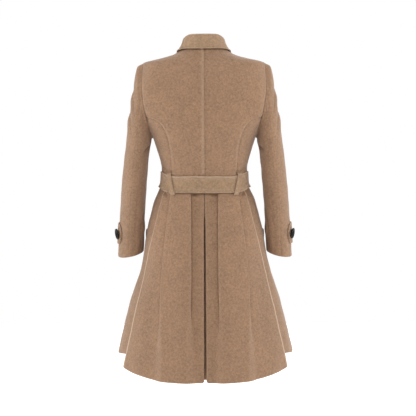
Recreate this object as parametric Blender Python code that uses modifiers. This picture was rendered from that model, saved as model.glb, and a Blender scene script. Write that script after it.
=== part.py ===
"""A double-breasted wool coat with a panelled bodice, a belted waist and a pleated, flared skirt.

The coat is filled out as when it is worn, and it is hollow. The origin is at the nape, where the collar is
sewn on at the centre back. +Z is up, the back faces +Y and the wearer's left is +X. Sizes are in metres.
"""

import math
from collections import namedtuple

import bmesh
import bpy
import numpy as np
from mathutils import Vector

# Cloth, seams and layers
WOOL = 0.0025
PLEAT_WOOL = 0.0022
COLLAR_WOOL = 0.0028
DOUBLE_WOOL = 0.0032
SEAM_GAP = 0.0003
LAY_GAP = 0.0006
LAYER = WOOL + LAY_GAP
NARROW = 0.005

# Heights on the coat, from the nape
NECK_POINT_Z = 0.010
SHOULDER_TIP_Z = -0.039
ARMPIT_Z = -0.268
BREAK_Z = -0.222
WAIST_Z = -0.406
HEM_BACK_Z = -0.984
HEM_SIDE_Z = -0.952

# The bodice: the lap of the fronts past the middle, and how far the armholes bow from a straight line
FRONT_LAP = 0.070
LAP_CLEAR = 0.004
LAP_SLOPE = 0.060
BACK_BOW = 0.0113
FRONT_BOW = -0.004
PRINCESS_START = 0.716
PRINCESS_CURVE = ((0.105, -0.210), (0.100, -0.280), (0.097, WAIST_Z))

# The collar and the lapels
COLLAR_TOP_Z = 0.0390
COLLAR_SIDE_Z = 0.0260
COLLAR_EDGE_Z = -0.0085
COLLAR_EDGE_BACK_RISE = 0.0045
COLLAR_EDGE_LIFT = 0.0065
COLLAR_FOLD_RADIUS = 0.0030
COLLAR_LEAN = 0.006
COLLAR_SIDE_LEAN = 0.003
COLLAR_BULGE = 0.003
COLLAR_SWEEP = 2.2
COLLAR_BACK_TURN = math.radians(60)
COLLAR_FALL_ROWS = (0.30, 0.62, 1.0)
NOTCH_LIFT = 0.0065
COLLAR_SEAM_RISE = 0.0016
COLLAR_FRONT_STAND = 0.007
COLLAR_REST = 0.0038
GORGE_Z = -0.018
NOTCH = (0.104, -0.052)
LAPEL_TIP = (0.116, -0.080)
LAPEL_BELLY = (0.085, -0.160)
LAPEL_FOOT = 0.012
LAPEL_RISE = LAYER + 0.0021
LAP_SINK = LAYER + 0.0008

# The belt, its loops and the buckle
BELT_TOP_Z = -0.3815
BELT_LOW_Z = -0.4325
BELT_SIDE_RISE = 0.009
BELT_RISE_FROM = 0.77
BELT_RISE_SPAN = 0.51
BELT_WOOL = 0.0030
BELT_AIR = 0.0010
BELT_CELLS = 52
BELT_START = math.radians(-76)
BELT_END = math.radians(312)
BELT_RISE_START = math.radians(232)
BELT_RISE_END = math.radians(262)
LOOP_TOP_X = 0.1063
LOOP_LOW_X = 0.0935
LOOP_WIDTH = 0.014
LOOP_OVERHANG = 0.0080
LOOP_BEND = 0.0050
LOOP_BEND_LIFT = 0.002
LOOP_CLEAR = 0.002
BUCKLE_WIDTH = 0.054
BUCKLE_HEIGHT = 0.062
BUCKLE_CORNER = 0.010
BUCKLE_WIRE = 0.0030
BUCKLE_X = 0.012
BUCKLE_Y = -0.1220

# The pleated skirt
SKIRT_TOP_Z = WAIST_Z - 0.0010
SKIRT_ROWS = (0.0, 0.0405, 0.15, 0.28, 0.42, 0.56, 0.70, 0.85, 1.0)
HEM_LAP_Z = -0.972
PLEAT_PITCH = 0.0032
PLEAT_TUCK = 0.012
PLEAT_HOLD = 0.004
EDGE_DEPTH = 0.0010
SIDE_RAMP = 0.060
HEM_UNDER_Z = -0.933
HEM_UNDER_RAMP = 0.110
RAMP_STEPS = (0.0, 0.2, 0.45, 0.7, 1.0)
SKIRT_UNDER_SLOPE = 0.22
SLIT_CORNER = 0.008
LAP_CORNER = 0.006
SLIT_UNDERLAP = 0.014
SLIT_GAP_TOP = 0.0006
SLIT_GAP_HEM = 0.0040

# The cuff tabs, the pocket flaps and the buttons
TAB_AIR = 0.0012
TAB_BACK = math.radians(48)
TAB_ROUND = math.radians(18)
TAB_FRONT = math.radians(-75)
TAB_END_STEPS = (0.0, 0.12, 0.45, 1.0)
TAB_END_SHARE = 0.35
TAB_TOP_ROW = 10.45
TAB_LOW_ROW = 11.42
TAB_BUTTON = math.radians(26)
FLAP_BACK = math.radians(-3)
FLAP_LEAN = math.radians(9)
FLAP_FRONT = math.radians(-46)
FLAP_TOP_Z = -0.559
FLAP_HEIGHT = 0.044
FLAP_SLANT = 0.012
FLAP_AIR = 0.0010
BUTTON_AIR = 0.0005
BUTTON_RADIUS = 0.017
BUTTON_X = 0.050
BUTTON_STEPS = 16
BUTTON_PROFILE = ((0.60, 0.0030), (0.80, 0.0045), (0.97, 0.0035), (1.00, 0.0018), (0.90, 0.0))

# The figure that fills the coat: the outer face of the cloth at each height. Back and front are the reach
# behind and before the shoulder tips, and side is where the ring is widest.
Level = namedtuple("Level", "height half_width back front side")
LEVELS = (
    Level(0.014, 0.0565, 0.0580, 0.0460, 0.000),
    Level(NECK_POINT_Z, 0.0605, 0.0595, 0.0480, 0.000),
    Level(-0.004, 0.0735, 0.0630, 0.0520, 0.000),
    Level(-0.015, 0.0905, 0.0660, 0.0580, 0.000),
    Level(-0.024, 0.1300, 0.0700, 0.0630, 0.000),
    Level(-0.033, 0.1753, 0.0740, 0.0690, 0.000),
    Level(SHOULDER_TIP_Z, 0.1860, 0.0765, 0.0730, 0.000),
    Level(-0.080, 0.1935, 0.0890, 0.0930, 0.000),
    Level(-0.155, 0.2000, 0.1040, 0.1180, 0.000),
    Level(-0.215, 0.1830, 0.1070, 0.1320, 0.000),
    Level(-0.250, 0.1662, 0.1050, 0.1350, 0.000),
    Level(ARMPIT_Z, 0.1585, 0.1030, 0.1340, 0.000),
    Level(-0.302, 0.1495, 0.0980, 0.1280, 0.000),
    Level(-0.364, 0.1344, 0.0880, 0.1130, 0.000),
    Level(WAIST_Z, 0.1325, 0.0860, 0.1080, 0.000),
    Level(-0.431, 0.1395, 0.0890, 0.1120, -0.002),
    Level(-0.465, 0.1570, 0.0980, 0.1200, -0.006),
    Level(-0.490, 0.1668, 0.1050, 0.1260, -0.010),
    Level(-0.542, 0.1800, 0.1180, 0.1360, -0.016),
    Level(-0.658, 0.2030, 0.1440, 0.1550, -0.028),
    Level(-0.791, 0.2425, 0.1720, 0.1770, -0.045),
    Level(-0.940, 0.2800, 0.2040, 0.1980, -0.060),
    Level(-1.000, 0.2930, 0.2150, 0.2050, -0.065),
)
SQUARENESS = 0.0226
BLADE_FILL = 0.009
BLADE_X = 0.183
BLADE_WIDTH = 0.030
BLADE_TOP = (-0.050, -0.110)
BLADE_LOW = (-0.200, -0.255)

# The sleeve: each ring is spanned between a point of its outer edge and one of its inner edge. Bond is the
# share of the armhole's own shape that the ring keeps.
Ring = namedtuple("Ring", "outer_x outer_z inner_x inner_z middle_y half_depth bond")
SLEEVE_RINGS = (
    Ring(0.1860, SHOULDER_TIP_Z, 0.1585, ARMPIT_Z, -0.006, 0.0600, 1.00),
    Ring(0.1885, -0.0395, 0.1607, -0.2690, -0.006, 0.0600, 1.00),
    Ring(0.2020, -0.0500, 0.1625, -0.2730, -0.005, 0.0630, 0.75),
    Ring(0.2090, -0.0730, 0.1640, -0.2840, -0.004, 0.0650, 0.45),
    Ring(0.2185, -0.1180, 0.1682, -0.3010, -0.004, 0.0660, 0.18),
    Ring(0.2275, -0.1680, 0.1712, -0.3200, -0.004, 0.0655, 0.00),
    Ring(0.2358, -0.2300, 0.1740, -0.3450, -0.005, 0.0640, 0.00),
    Ring(0.2445, -0.3000, 0.1780, -0.3850, -0.007, 0.0620, 0.00),
    Ring(0.2532, -0.3700, 0.1822, -0.4300, -0.010, 0.0600, 0.00),
    Ring(0.2603, -0.4350, 0.1860, -0.4850, -0.015, 0.0570, 0.00),
    Ring(0.2665, -0.5050, 0.1900, -0.5400, -0.022, 0.0540, 0.00),
    Ring(0.2715, -0.5720, 0.1935, -0.5860, -0.031, 0.0510, 0.00),
    Ring(0.2768, -0.6440, 0.1975, -0.6280, -0.041, 0.0480, 0.00),
)
SLEEVE_SHIFT = np.array([0.0005, 0.0, -0.0001])
SEAM_CELL = math.radians(4)
SLEEVE_TRIM = 0.0004
BACK_SLEEVE_SEAM = math.radians(88)
FRONT_SLEEVE_SEAM = math.radians(-115)

# The pressed pleats of one back skirt: where each fold edge runs at the waist, half way down and at the hem,
# how far down it starts to open, and the width and depth of the soft wave it opens to at the hem.
Pleat = namedtuple("Pleat", "waist_x middle_x hem_x opens wave_width wave_depth")
CENTRE_PLEAT = Pleat(0.0422, 0.0412, 0.0400, 0.40, 0.036, 0.014)
SIDE_PLEAT = Pleat(0.0985, 0.1330, 0.1440, 0.45, 0.040, 0.012)
LAP_PLEAT = Pleat(0.1190, 0.1860, 0.2520, 1.00, 0.000, 0.000)

# The front buttons, in two columns: the height of each pair, and how far each base stands off the figure to sit
# on the flat faces of the cloth there
ButtonRow = namedtuple("ButtonRow", "height left_lift right_lift")
BUTTON_ROWS = (
    ButtonRow(-0.252, 0.0003, -0.0003),
    ButtonRow(-0.338, 0.0010, 0.0009),
    ButtonRow(-0.480, -0.0002, 0.0004),
)

# Finishes: base colour, roughness and metallic value
Finish = namedtuple("Finish", "colour roughness metallic")
CAMEL_WOOL = Finish((0.352, 0.216, 0.136), 0.92, 0.0)
BLACK_HORN = Finish((0.012, 0.011, 0.010), 0.30, 0.0)
SIDES = (("left", 1), ("right", -1))


# Helpers for curves and grids
def smooth_curve(knots, values, at):
    """Values on a curve through the knots that doesn't overshoot between them."""
    step = np.diff(knots)
    rise = np.diff(values) / step
    product = rise[:-1] * rise[1:]
    same_way = product > 0
    slope = np.zeros(len(values))
    slope[0], slope[-1] = rise[0], rise[-1]
    slope[1:-1][same_way] = (2 * product / np.where(same_way, rise[:-1] + rise[1:], 1))[same_way]
    k = np.clip(np.searchsorted(knots, at) - 1, 0, len(step) - 1)
    t = (at - knots[k]) / step[k]
    held = values[k] * (1 + 2 * t) * (1 - t) ** 2 + values[k + 1] * t**2 * (3 - 2 * t)
    return held + step[k] * t * (1 - t) * (slope[k] * (1 - t) - slope[k + 1] * t)


def ease(value):
    """A smooth step from 0 to 1."""
    t = np.clip(value, 0.0, 1.0)
    return t * t * (3 - 2 * t)


def unit(vectors):
    return vectors / np.linalg.norm(vectors, axis=-1, keepdims=True)


def bezier(corners, count=60):
    """Points on a cubic curve with four control points."""
    t = np.linspace(0, 1, count)[:, None]
    a, b, c, d = (np.array(corner) for corner in corners)
    return a * (1 - t) ** 3 + 3 * b * t * (1 - t) ** 2 + 3 * c * t**2 * (1 - t) + d * t**3


def joined(*runs):
    """Runs of points end to end, with each shared corner once."""
    return np.concatenate([runs[0]] + [run[1:] for run in runs[1:]])


def run_along(points):
    """The length along a line of points up to each of them."""
    return np.concatenate([[0], np.cumsum(np.linalg.norm(np.diff(points, axis=0), axis=1))])


def shares(points):
    """How far along a line of points each of them is, from 0 to 1."""
    run = run_along(points)
    return run / run[-1]


# The figure
def level(name, z):
    heights = np.array([row.height for row in LEVELS[::-1]])
    values = np.array([getattr(row, name) for row in LEVELS[::-1]])
    return smooth_curve(heights, values, z)


def blade_fill(x, along, z):
    """The fullness of the back beside the armholes: a bell curve across, with a soft start and end in height."""
    high = ease((BLADE_TOP[0] - z) / (BLADE_TOP[0] - BLADE_TOP[1]))
    low = ease((BLADE_LOW[0] - z) / (BLADE_LOW[0] - BLADE_LOW[1]))
    return BLADE_FILL * np.exp(-((np.abs(x) - BLADE_X) / BLADE_WIDTH) ** 2) * ease(along / 0.3) * high * (1 - low)


def ring_point(angle, z):
    """The outer face at a height. The angle is 0 at the left side, a quarter turn at the centre back."""
    angle, z = np.broadcast_arrays(angle, z)
    across = (np.cos(angle) - SQUARENESS * np.cos(3 * angle)) / (1 - SQUARENESS)
    along = (np.sin(angle) + SQUARENESS * np.sin(3 * angle)) / (1 - SQUARENESS)
    side = level("side", z)
    reach = np.where(along > 0, level("back", z) - side, level("front", z) + side)
    x = level("half_width", z) * across
    return np.stack([x, side + reach * along + blade_fill(x, along, z), z], axis=-1)


def on_form(angle, z, lift=0.0):
    """The outer face moved out along its normal."""
    nudge = 1e-4
    turn = ring_point(angle + nudge, z) - ring_point(angle - nudge, z)
    climb = ring_point(angle, z + nudge) - ring_point(angle, z - nudge)
    lift = np.asarray(lift)[..., None]
    return ring_point(angle, z) + lift * unit(np.cross(turn, climb))


def angle_at(x, z, front=False):
    """The angle where a ring has this x, on its back half or on its front half."""
    x, z = np.broadcast_arrays(np.asarray(x, float), np.asarray(z, float))
    low = np.zeros(x.shape)
    high = np.full(x.shape, math.pi)
    for _ in range(40):
        middle = (low + high) / 2
        outside = ring_point(middle, z)[..., 0] > x
        low = np.where(outside, middle, low)
        high = np.where(outside, high, middle)
    return -low if front else low


def angle_facing(x, y, z):
    """The angle of the ring point that lies in the same direction from the ring's middle."""
    wanted = np.arctan2(y - level("side", z), x)
    low = np.full(x.shape, -math.pi)
    high = np.full(x.shape, math.pi)
    for _ in range(40):
        middle = (low + high) / 2
        point = ring_point(middle, z)
        short = np.arctan2(point[..., 1] - level("side", z), point[..., 0]) < wanted
        low = np.where(short, middle, low)
        high = np.where(short, high, middle)
    return low


def drop_table(count=2000):
    """Heights down the coat, and the length of the side outline to each."""
    z = np.linspace(LEVELS[0].height, LEVELS[-1].height, count)
    return z, run_along(np.stack([level("half_width", z), z], axis=-1))


def fill_between(top, right, bottom, left):
    """A grid of (angle, height) between four edges that share their corners (a Coons patch).

    Heights are first turned into lengths down the side outline, as the shoulders are nearly level.
    """
    heights, drops = drop_table()
    edges = [np.stack([edge[:, 0], np.interp(-edge[:, 1], -heights, drops)], axis=-1)
             for edge in (top, right, bottom, left)]
    top, right, bottom, left = edges
    u = ((shares(top) + shares(bottom)) / 2)[None, :, None]
    v = ((shares(left) + shares(right)) / 2)[:, None, None]
    across = (1 - u) * left[:, None] + u * right[:, None]
    down = (1 - v) * top[None] + v * bottom[None]
    corners = (1 - v) * ((1 - u) * top[0] + u * top[-1]) + v * ((1 - u) * bottom[0] + u * bottom[-1])
    grid = across + down - corners
    return np.stack([grid[..., 0], np.interp(grid[..., 1], drops, heights)], axis=-1)


def even(path, cells, narrow_end=None):
    """A path of (angle, height) pairs resampled at even steps along the cloth, or with a narrow last one."""
    run = run_along(ring_point(path[:, 0], path[:, 1]))
    goal = np.linspace(0, run[-1], cells + 1)
    if narrow_end:
        goal = np.append(np.linspace(0, run[-1] - narrow_end, cells), run[-1])
    return np.stack([np.interp(goal, run, path[:, k]) for k in (0, 1)], axis=-1)


# Making solids
def finish_material(name, finish):
    material = bpy.data.materials.new(name)
    material.use_nodes = True
    shader = material.node_tree.nodes["Principled BSDF"]
    shader.inputs["Base Color"].default_value = (*finish.colour, 1.0)
    shader.inputs["Roughness"].default_value = finish.roughness
    shader.inputs["Metallic"].default_value = finish.metallic
    return material


def place(name, data, finish):
    """A new object in the coat's collection, with its own material."""
    data.materials.append(finish_material(name, finish))
    thing = bpy.data.objects.new(name, data)
    COAT.objects.link(thing)
    return thing


def trimmed(points, trim=SEAM_GAP / 2):
    """The grid with its four edges drawn in by half a seam gap."""
    result = points.copy()
    result[0] += trim * unit(points[1] - points[0])
    result[-1] += trim * unit(points[-2] - points[-1])
    result[:, 0] += trim * unit(points[:, 1] - points[:, 0])
    result[:, -1] += trim * unit(points[:, -2] - points[:, -1])
    return result


def sided(points, sign):
    """A grid of the wearer's left side, or the same for the right side, still facing out."""
    return points if sign > 0 else points[:, ::-1] * np.array([-1.0, 1.0, 1.0])


def cloth(name, points, thickness, offset=1.0, mirror=False):
    """A cloth wall: a grid of points, thickened outwards (1) or to both sides (0)."""
    rows, columns = points.shape[:2]
    mesh = bpy.data.meshes.new(name)
    grid = bmesh.new()
    bmesh.ops.create_grid(grid, x_segments=columns - 1, y_segments=rows - 1, size=1.0)
    grid.to_mesh(mesh)
    grid.free()
    mesh.vertices.foreach_set("co", points.reshape(-1))
    mesh.update()
    mesh.shade_smooth()
    thing = place(name, mesh, CAMEL_WOOL)
    if mirror:
        half = thing.modifiers.new("Mirror", "MIRROR")
        half.merge_threshold = 0.0001
    wall = thing.modifiers.new("Solidify", "SOLIDIFY")
    wall.thickness = thickness
    wall.offset = offset
    wall.use_even_offset = True


def panel(name, grid, sign, lift=0.0, thickness=WOOL):
    """A wall on the figure from a grid of (angle, height), its outer face at the lift."""
    points = trimmed(on_form(grid[..., 0], grid[..., 1], lift - thickness))
    cloth(name, sided(points, sign), thickness)


# Edges of the bodice panels, as (angle, height) paths on the left half
def neckline(count=60):
    angle = np.linspace(math.pi / 2, 0, count)
    return np.stack([angle, NECK_POINT_Z * (1 - np.sin(angle))], axis=-1)


def down_at_angle(angle, top_z, low_z, count=60):
    return np.stack([np.full(count, angle), np.linspace(top_z, low_z, count)], axis=-1)


def waist_between(start, end, count=60):
    return np.stack([np.linspace(start, end, count), np.full(count, WAIST_Z)], axis=-1)


def armhole_spot(share, front=False):
    """Angle and height at a share of the way from the shoulder tip to the armpit."""
    z = SHOULDER_TIP_Z + (ARMPIT_Z - SHOULDER_TIP_Z) * share
    tip_x = level("half_width", np.array(SHOULDER_TIP_Z))
    pit_x = level("half_width", np.array(ARMPIT_Z))
    bow = FRONT_BOW if front else BACK_BOW
    x = tip_x + (pit_x - tip_x) * share + bow * np.sin(math.pi * share)
    return np.stack([angle_at(x, z, front), z], axis=-1)


def armhole(start, end, front=False, count=60):
    return armhole_spot(np.linspace(start, end, count), front)


def princess_seam():
    """The curved seam from the back of the armhole down to the waist."""
    angle, z = armhole_spot(np.array(PRINCESS_START))
    start = (ring_point(angle, z)[0], z)
    path = bezier((start,) + PRINCESS_CURVE)
    return np.stack([angle_at(path[:, 0], path[:, 1]), path[:, 1]], axis=-1)


def roll_x(z):
    """Where the left front's edge turns out into the lapel: straight, seen from the front."""
    neck_x = level("half_width", np.array(NECK_POINT_Z))
    return neck_x - (neck_x + FRONT_LAP) * (NECK_POINT_Z - z) / (NECK_POINT_Z - BREAK_Z)


def front_edge(top_z, low_z, count=60):
    """The free edge of the left front: the roll line, then straight down past the middle."""
    z = np.linspace(top_z, low_z, count)
    return np.stack([angle_at(np.maximum(roll_x(z), -FRONT_LAP), z, front=True), z], axis=-1)


def on_front(path):
    """A path of (x, height) pairs on the front, as (angle, height)."""
    return np.stack([angle_at(path[:, 0], path[:, 1], front=True), path[:, 1]], axis=-1)


def front_lift(angle, z, sign):
    """The left front sinks where the right front lies over it, and more where its lapel lies between."""
    if sign < 0:
        return np.zeros(angle.shape)
    x = ring_point(angle, z)[..., 0]
    over_edge = -np.maximum(roll_x(z), -FRONT_LAP)
    depth = LAP_SINK + LAPEL_RISE * ease((z - WAIST_Z) / (BREAK_Z - WAIST_Z))
    return -depth * (1 - ease((x - over_edge - LAP_CLEAR) / LAP_SLOPE))


# The bodice
def make_back(name, sign):
    waist_angle = princess_seam()[-1, 0]
    top = even(neckline(), 7, narrow_end=NARROW)
    shoulder = even(down_at_angle(0.0, NECK_POINT_Z, SHOULDER_TIP_Z), 6)
    right = joined(shoulder, even(armhole(0, PRINCESS_START), 5), even(princess_seam(), 8))
    bottom = even(waist_between(math.pi / 2, waist_angle), 7, narrow_end=NARROW)
    left = joined(even(down_at_angle(math.pi / 2, 0.0, SHOULDER_TIP_Z), 6),
                  even(down_at_angle(math.pi / 2, SHOULDER_TIP_Z, WAIST_Z), 13))
    panel(name, fill_between(top, right, bottom, left), sign)


def make_side_back(name, sign):
    left = even(princess_seam(), 8)
    top = even(armhole(PRINCESS_START, 1), 5)
    right = even(down_at_angle(0.0, ARMPIT_Z, WAIST_Z), 8)
    bottom = even(waist_between(left[-1, 0], 0.0), 5)
    panel(name, fill_between(top, right, bottom, left), sign)


def make_front(name, sign):
    top = even(down_at_angle(0.0, SHOULDER_TIP_Z, NECK_POINT_Z), 12)
    left = joined(even(armhole(0, 1, front=True), 8), even(down_at_angle(0.0, ARMPIT_Z, WAIST_Z), 5))
    right = joined(even(front_edge(NECK_POINT_Z, BREAK_Z), 8), even(front_edge(BREAK_Z, WAIST_Z), 5))
    bottom = even(waist_between(0.0, right[-1, 0]), 12)
    grid = fill_between(top, right, bottom, left)
    panel(name, grid, sign, front_lift(grid[..., 0], grid[..., 1], sign))


def make_lapel(name, sign):
    """The turned-out part of a front, lying on the front along the roll line."""
    gorge_x = roll_x(GORGE_Z)
    foot = (-FRONT_LAP + LAPEL_FOOT, BREAK_Z)
    edge = bezier((LAPEL_TIP, LAPEL_BELLY, LAPEL_BELLY, foot))
    top = bezier((LAPEL_TIP, LAPEL_TIP, NOTCH, (gorge_x, GORGE_Z)))
    left = even(on_front(edge), 9)
    right = even(front_edge(GORGE_Z, BREAK_Z), 9)
    bottom = even(np.stack([left[-1], right[-1]]), 5)
    grid = fill_between(even(on_front(top), 5), right, bottom, left)
    panel(name, grid, sign, front_lift(grid[..., 0], grid[..., 1], sign) + LAPEL_RISE)


# The collar
def push_clear(points, rest):
    """Points moved out to a height above the figure where they would lie lower."""
    x, y, z = np.moveaxis(points, -1, 0)
    held = np.minimum(z, NECK_POINT_Z)
    base = on_form(angle_facing(x, y, held), held, rest)
    low = (np.hypot(x, y) < np.hypot(base[..., 0], base[..., 1])) & (z < NECK_POINT_Z)
    return np.where(low[..., None], base, points)


def make_collar(name):
    """A stand that rises from the neck seam, a narrow fold and a fall that turns out and down."""
    back = even(neckline(), 6)
    front = even(front_edge(NECK_POINT_Z, GORGE_Z), 4)
    seam = joined(back, front)
    behind = np.concatenate([np.ones(len(back)), 1 - np.linspace(0, 1, len(front))[1:]])
    at_back = ease(seam[:, 0] / COLLAR_BACK_TURN)
    foot = on_form(seam[:, 0], seam[:, 1], -COLLAR_WOOL / 2) + np.array([0, 0, COLLAR_SEAM_RISE])
    side_out = on_form(seam[:, 0], seam[:, 1], 1.0) - on_form(seam[:, 0], seam[:, 1])
    out = unit(side_out * np.array([1.0, 1.0, 0.0]))
    back_top = COLLAR_SIDE_Z + (COLLAR_TOP_Z - COLLAR_SIDE_Z) * at_back
    side_stand = COLLAR_SIDE_Z - NECK_POINT_Z
    front_top = foot[:, 2] + COLLAR_FRONT_STAND + (side_stand - COLLAR_FRONT_STAND) * behind
    stand = (np.where(behind == 1, back_top, front_top) - COLLAR_FOLD_RADIUS - foot[:, 2])[:, None]
    lean = (COLLAR_SIDE_LEAN + (COLLAR_LEAN - COLLAR_SIDE_LEAN) * at_back)[:, None] * behind[:, None]
    up = np.array([0.0, 0.0, 1.0])
    share = (1 - behind) ** COLLAR_SWEEP
    notch_angle = on_front(np.array([NOTCH]))[0, 0]
    edge_angle = np.where(behind == 1, seam[:, 0], notch_angle * (1 - behind))
    edge_z = COLLAR_EDGE_Z + COLLAR_EDGE_BACK_RISE * at_back + (NOTCH[1] - COLLAR_EDGE_Z) * share
    edge_lift = COLLAR_REST + (COLLAR_EDGE_LIFT - COLLAR_REST) * at_back
    edge_lift += (NOTCH_LIFT - COLLAR_REST) * (1 - behind)
    edge = on_form(edge_angle, edge_z, edge_lift)
    rows = [foot, foot + 0.5 * stand * up - 0.4 * lean * out]
    for turn in np.radians((0, 60, 120, 180)):
        reach = COLLAR_FOLD_RADIUS * (1 - math.cos(turn)) - lean
        rows.append(foot + reach * out + (stand + COLLAR_FOLD_RADIUS * math.sin(turn)) * up)
    fold = rows[-1]
    for share_down in COLLAR_FALL_ROWS:
        bulge = (COLLAR_BULGE * math.sin(math.pi * share_down) * at_back)[:, None]
        rows.append(push_clear(fold * (1 - share_down) + edge * share_down + bulge * out, COLLAR_REST))
    points = np.stack(rows)
    points[:, 0, 0] = 0.0
    cloth(name, points[:, ::-1], COLLAR_WOOL, offset=0.0, mirror=True)


# The sleeves
def sleeve_point(turn, row):
    """The left sleeve's outer face. The turn is 0 on the outer edge and a quarter turn at the back."""
    turn, row = np.broadcast_arrays(turn, row)
    knots = np.arange(len(SLEEVE_RINGS))
    outer_x, outer_z, inner_x, inner_z, middle_y, half_depth, bond = (
        smooth_curve(knots, np.array(column), row) for column in zip(*SLEEVE_RINGS))
    first = SLEEVE_RINGS[0]
    inward = (1 - np.cos(turn)) / 2
    ring = np.stack([outer_x + (inner_x - outer_x) * inward, middle_y + half_depth * np.sin(turn),
                     outer_z + (inner_z - outer_z) * inward], axis=-1)
    plain = np.stack([first.outer_x + (first.inner_x - first.outer_x) * inward,
                      first.middle_y + first.half_depth * np.sin(turn),
                      first.outer_z + (first.inner_z - first.outer_z) * inward], axis=-1)
    behind = armhole_spot(inward)
    before = armhole_spot(inward, front=True)
    spot = np.where(np.sin(turn)[..., None] > 0, behind, before)
    seam = ring_point(spot[..., 0], spot[..., 1]) + SLEEVE_SHIFT
    return ring + bond[..., None] * (seam - plain)


def on_sleeve(turn, row, lift=0.0):
    """The sleeve's outer face moved out along its normal."""
    nudge = 1e-3
    round_it = sleeve_point(turn + nudge, row) - sleeve_point(turn - nudge, row)
    down_it = sleeve_point(turn, row + nudge) - sleeve_point(turn, row - nudge)
    return sleeve_point(turn, row) + lift * unit(np.cross(down_it, round_it))


def make_sleeve(name, sign, start, end, cells):
    inset = math.copysign(SEAM_CELL, end - start)
    turn = np.concatenate([[start], np.linspace(start + inset, end - inset, cells - 1), [end]])
    row = np.arange(len(SLEEVE_RINGS))[:, None]
    cloth(name, sided(trimmed(on_sleeve(turn, row, -WOOL), SLEEVE_TRIM), sign), WOOL)


def make_cuff_tab(name, sign):
    """A strap round the back and the outside of the cuff, with a rounded end behind."""
    round_end = TAB_BACK - TAB_ROUND * np.array(TAB_END_STEPS)
    turn = joined(round_end, np.linspace(round_end[-1], TAB_FRONT, 6))
    past = np.clip((turn - TAB_BACK + TAB_ROUND) / TAB_ROUND, 0, 1)
    half = (TAB_LOW_ROW - TAB_TOP_ROW) / 2 * np.maximum(np.sqrt(1 - past**2), TAB_END_SHARE)
    row = (TAB_TOP_ROW + TAB_LOW_ROW) / 2 + half * np.linspace(-1, 1, 4)[:, None]
    cloth(name, sided(on_sleeve(turn, row, TAB_AIR), sign), DOUBLE_WOOL)


# The skirt
def fold_x(pleat, share):
    """Where a fold edge runs at a share of the way down the skirt."""
    return (pleat.waist_x * (1 - share) * (1 - 2 * share) + 4 * pleat.middle_x * share * (1 - share)
            + pleat.hem_x * share * (2 * share - 1))


def ring_run(z):
    """Angles round a ring from the centre back, and the length of cloth to each."""
    angle = np.linspace(2 * math.pi / 3, -math.pi, 700)
    run = run_along(ring_point(angle, np.full(angle.shape, z)))
    return angle, run - np.interp(-math.pi / 2, -angle, run)


def fold_run(pleat, z):
    """The length of cloth from the centre back to a fold edge at a height."""
    share = np.clip((z - SKIRT_TOP_Z) / (HEM_BACK_Z - SKIRT_TOP_Z), 0, 1)
    angle, run = ring_run(z)
    return np.interp(-angle_at(fold_x(pleat, share), z), -angle, run)


def half_turn(at, first, last, way):
    """Four points round a folded edge, from one depth to another, bulging the given way."""
    turn = np.radians((-90, -30, 30, 90))
    return np.stack([at + way * PLEAT_PITCH / 2 * np.cos(turn),
                     (first + last) / 2 + (last - first) / 2 * np.sin(turn)], axis=-1)


def z_fold(far, near, depths):
    """A pressed fold: out to the far edge, back under to the near one and out again."""
    return np.concatenate([half_turn(far, depths[0], depths[1], 1), half_turn(near, depths[1], depths[2], -1)])


def opened_fold(pressed, pleat, at, share):
    """The same fold as it opens towards the hem into a soft wave."""
    step = np.linspace(0, 1, len(pressed))
    rise = ease(step) if pressed[0, 1] < pressed[-1, 1] else 1 - ease(step)
    wave = np.stack([at + pleat.wave_width * (step - 0.5), pleat.wave_depth * rise], axis=-1)
    return pressed + (wave - pressed) * ease((share - pleat.opens) / (1 - pleat.opens))


def between(a, b, cells):
    """Points strictly between two (length, depth) points."""
    t = np.linspace(0, 1, cells + 1)[1:-1, None]
    return np.asarray(a) * (1 - t) + np.asarray(b) * t


def slit_edge(edge, depth, sign):
    """The folded edge at the centre back. The left one runs on under the right one and backs the slit."""
    pitch = PLEAT_PITCH
    near = edge + (pitch + PLEAT_WOOL) / 2
    if sign > 0:
        fold = z_fold(SLIT_UNDERLAP, near, (depth + 2 * pitch, depth + pitch, depth))
        return np.concatenate([[(-SLIT_UNDERLAP, depth + 2 * pitch)], fold])
    fold = half_turn(near, depth + pitch, depth, -1)
    return np.concatenate([[(SLIT_UNDERLAP, depth + pitch)], fold])


def rounding(distance, radius):
    """How far a rounded corner rises at a distance from its side."""
    away = np.clip(distance / radius, 0, 1)
    return radius * (1 - np.sqrt(1 - (1 - away) ** 2))


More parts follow.
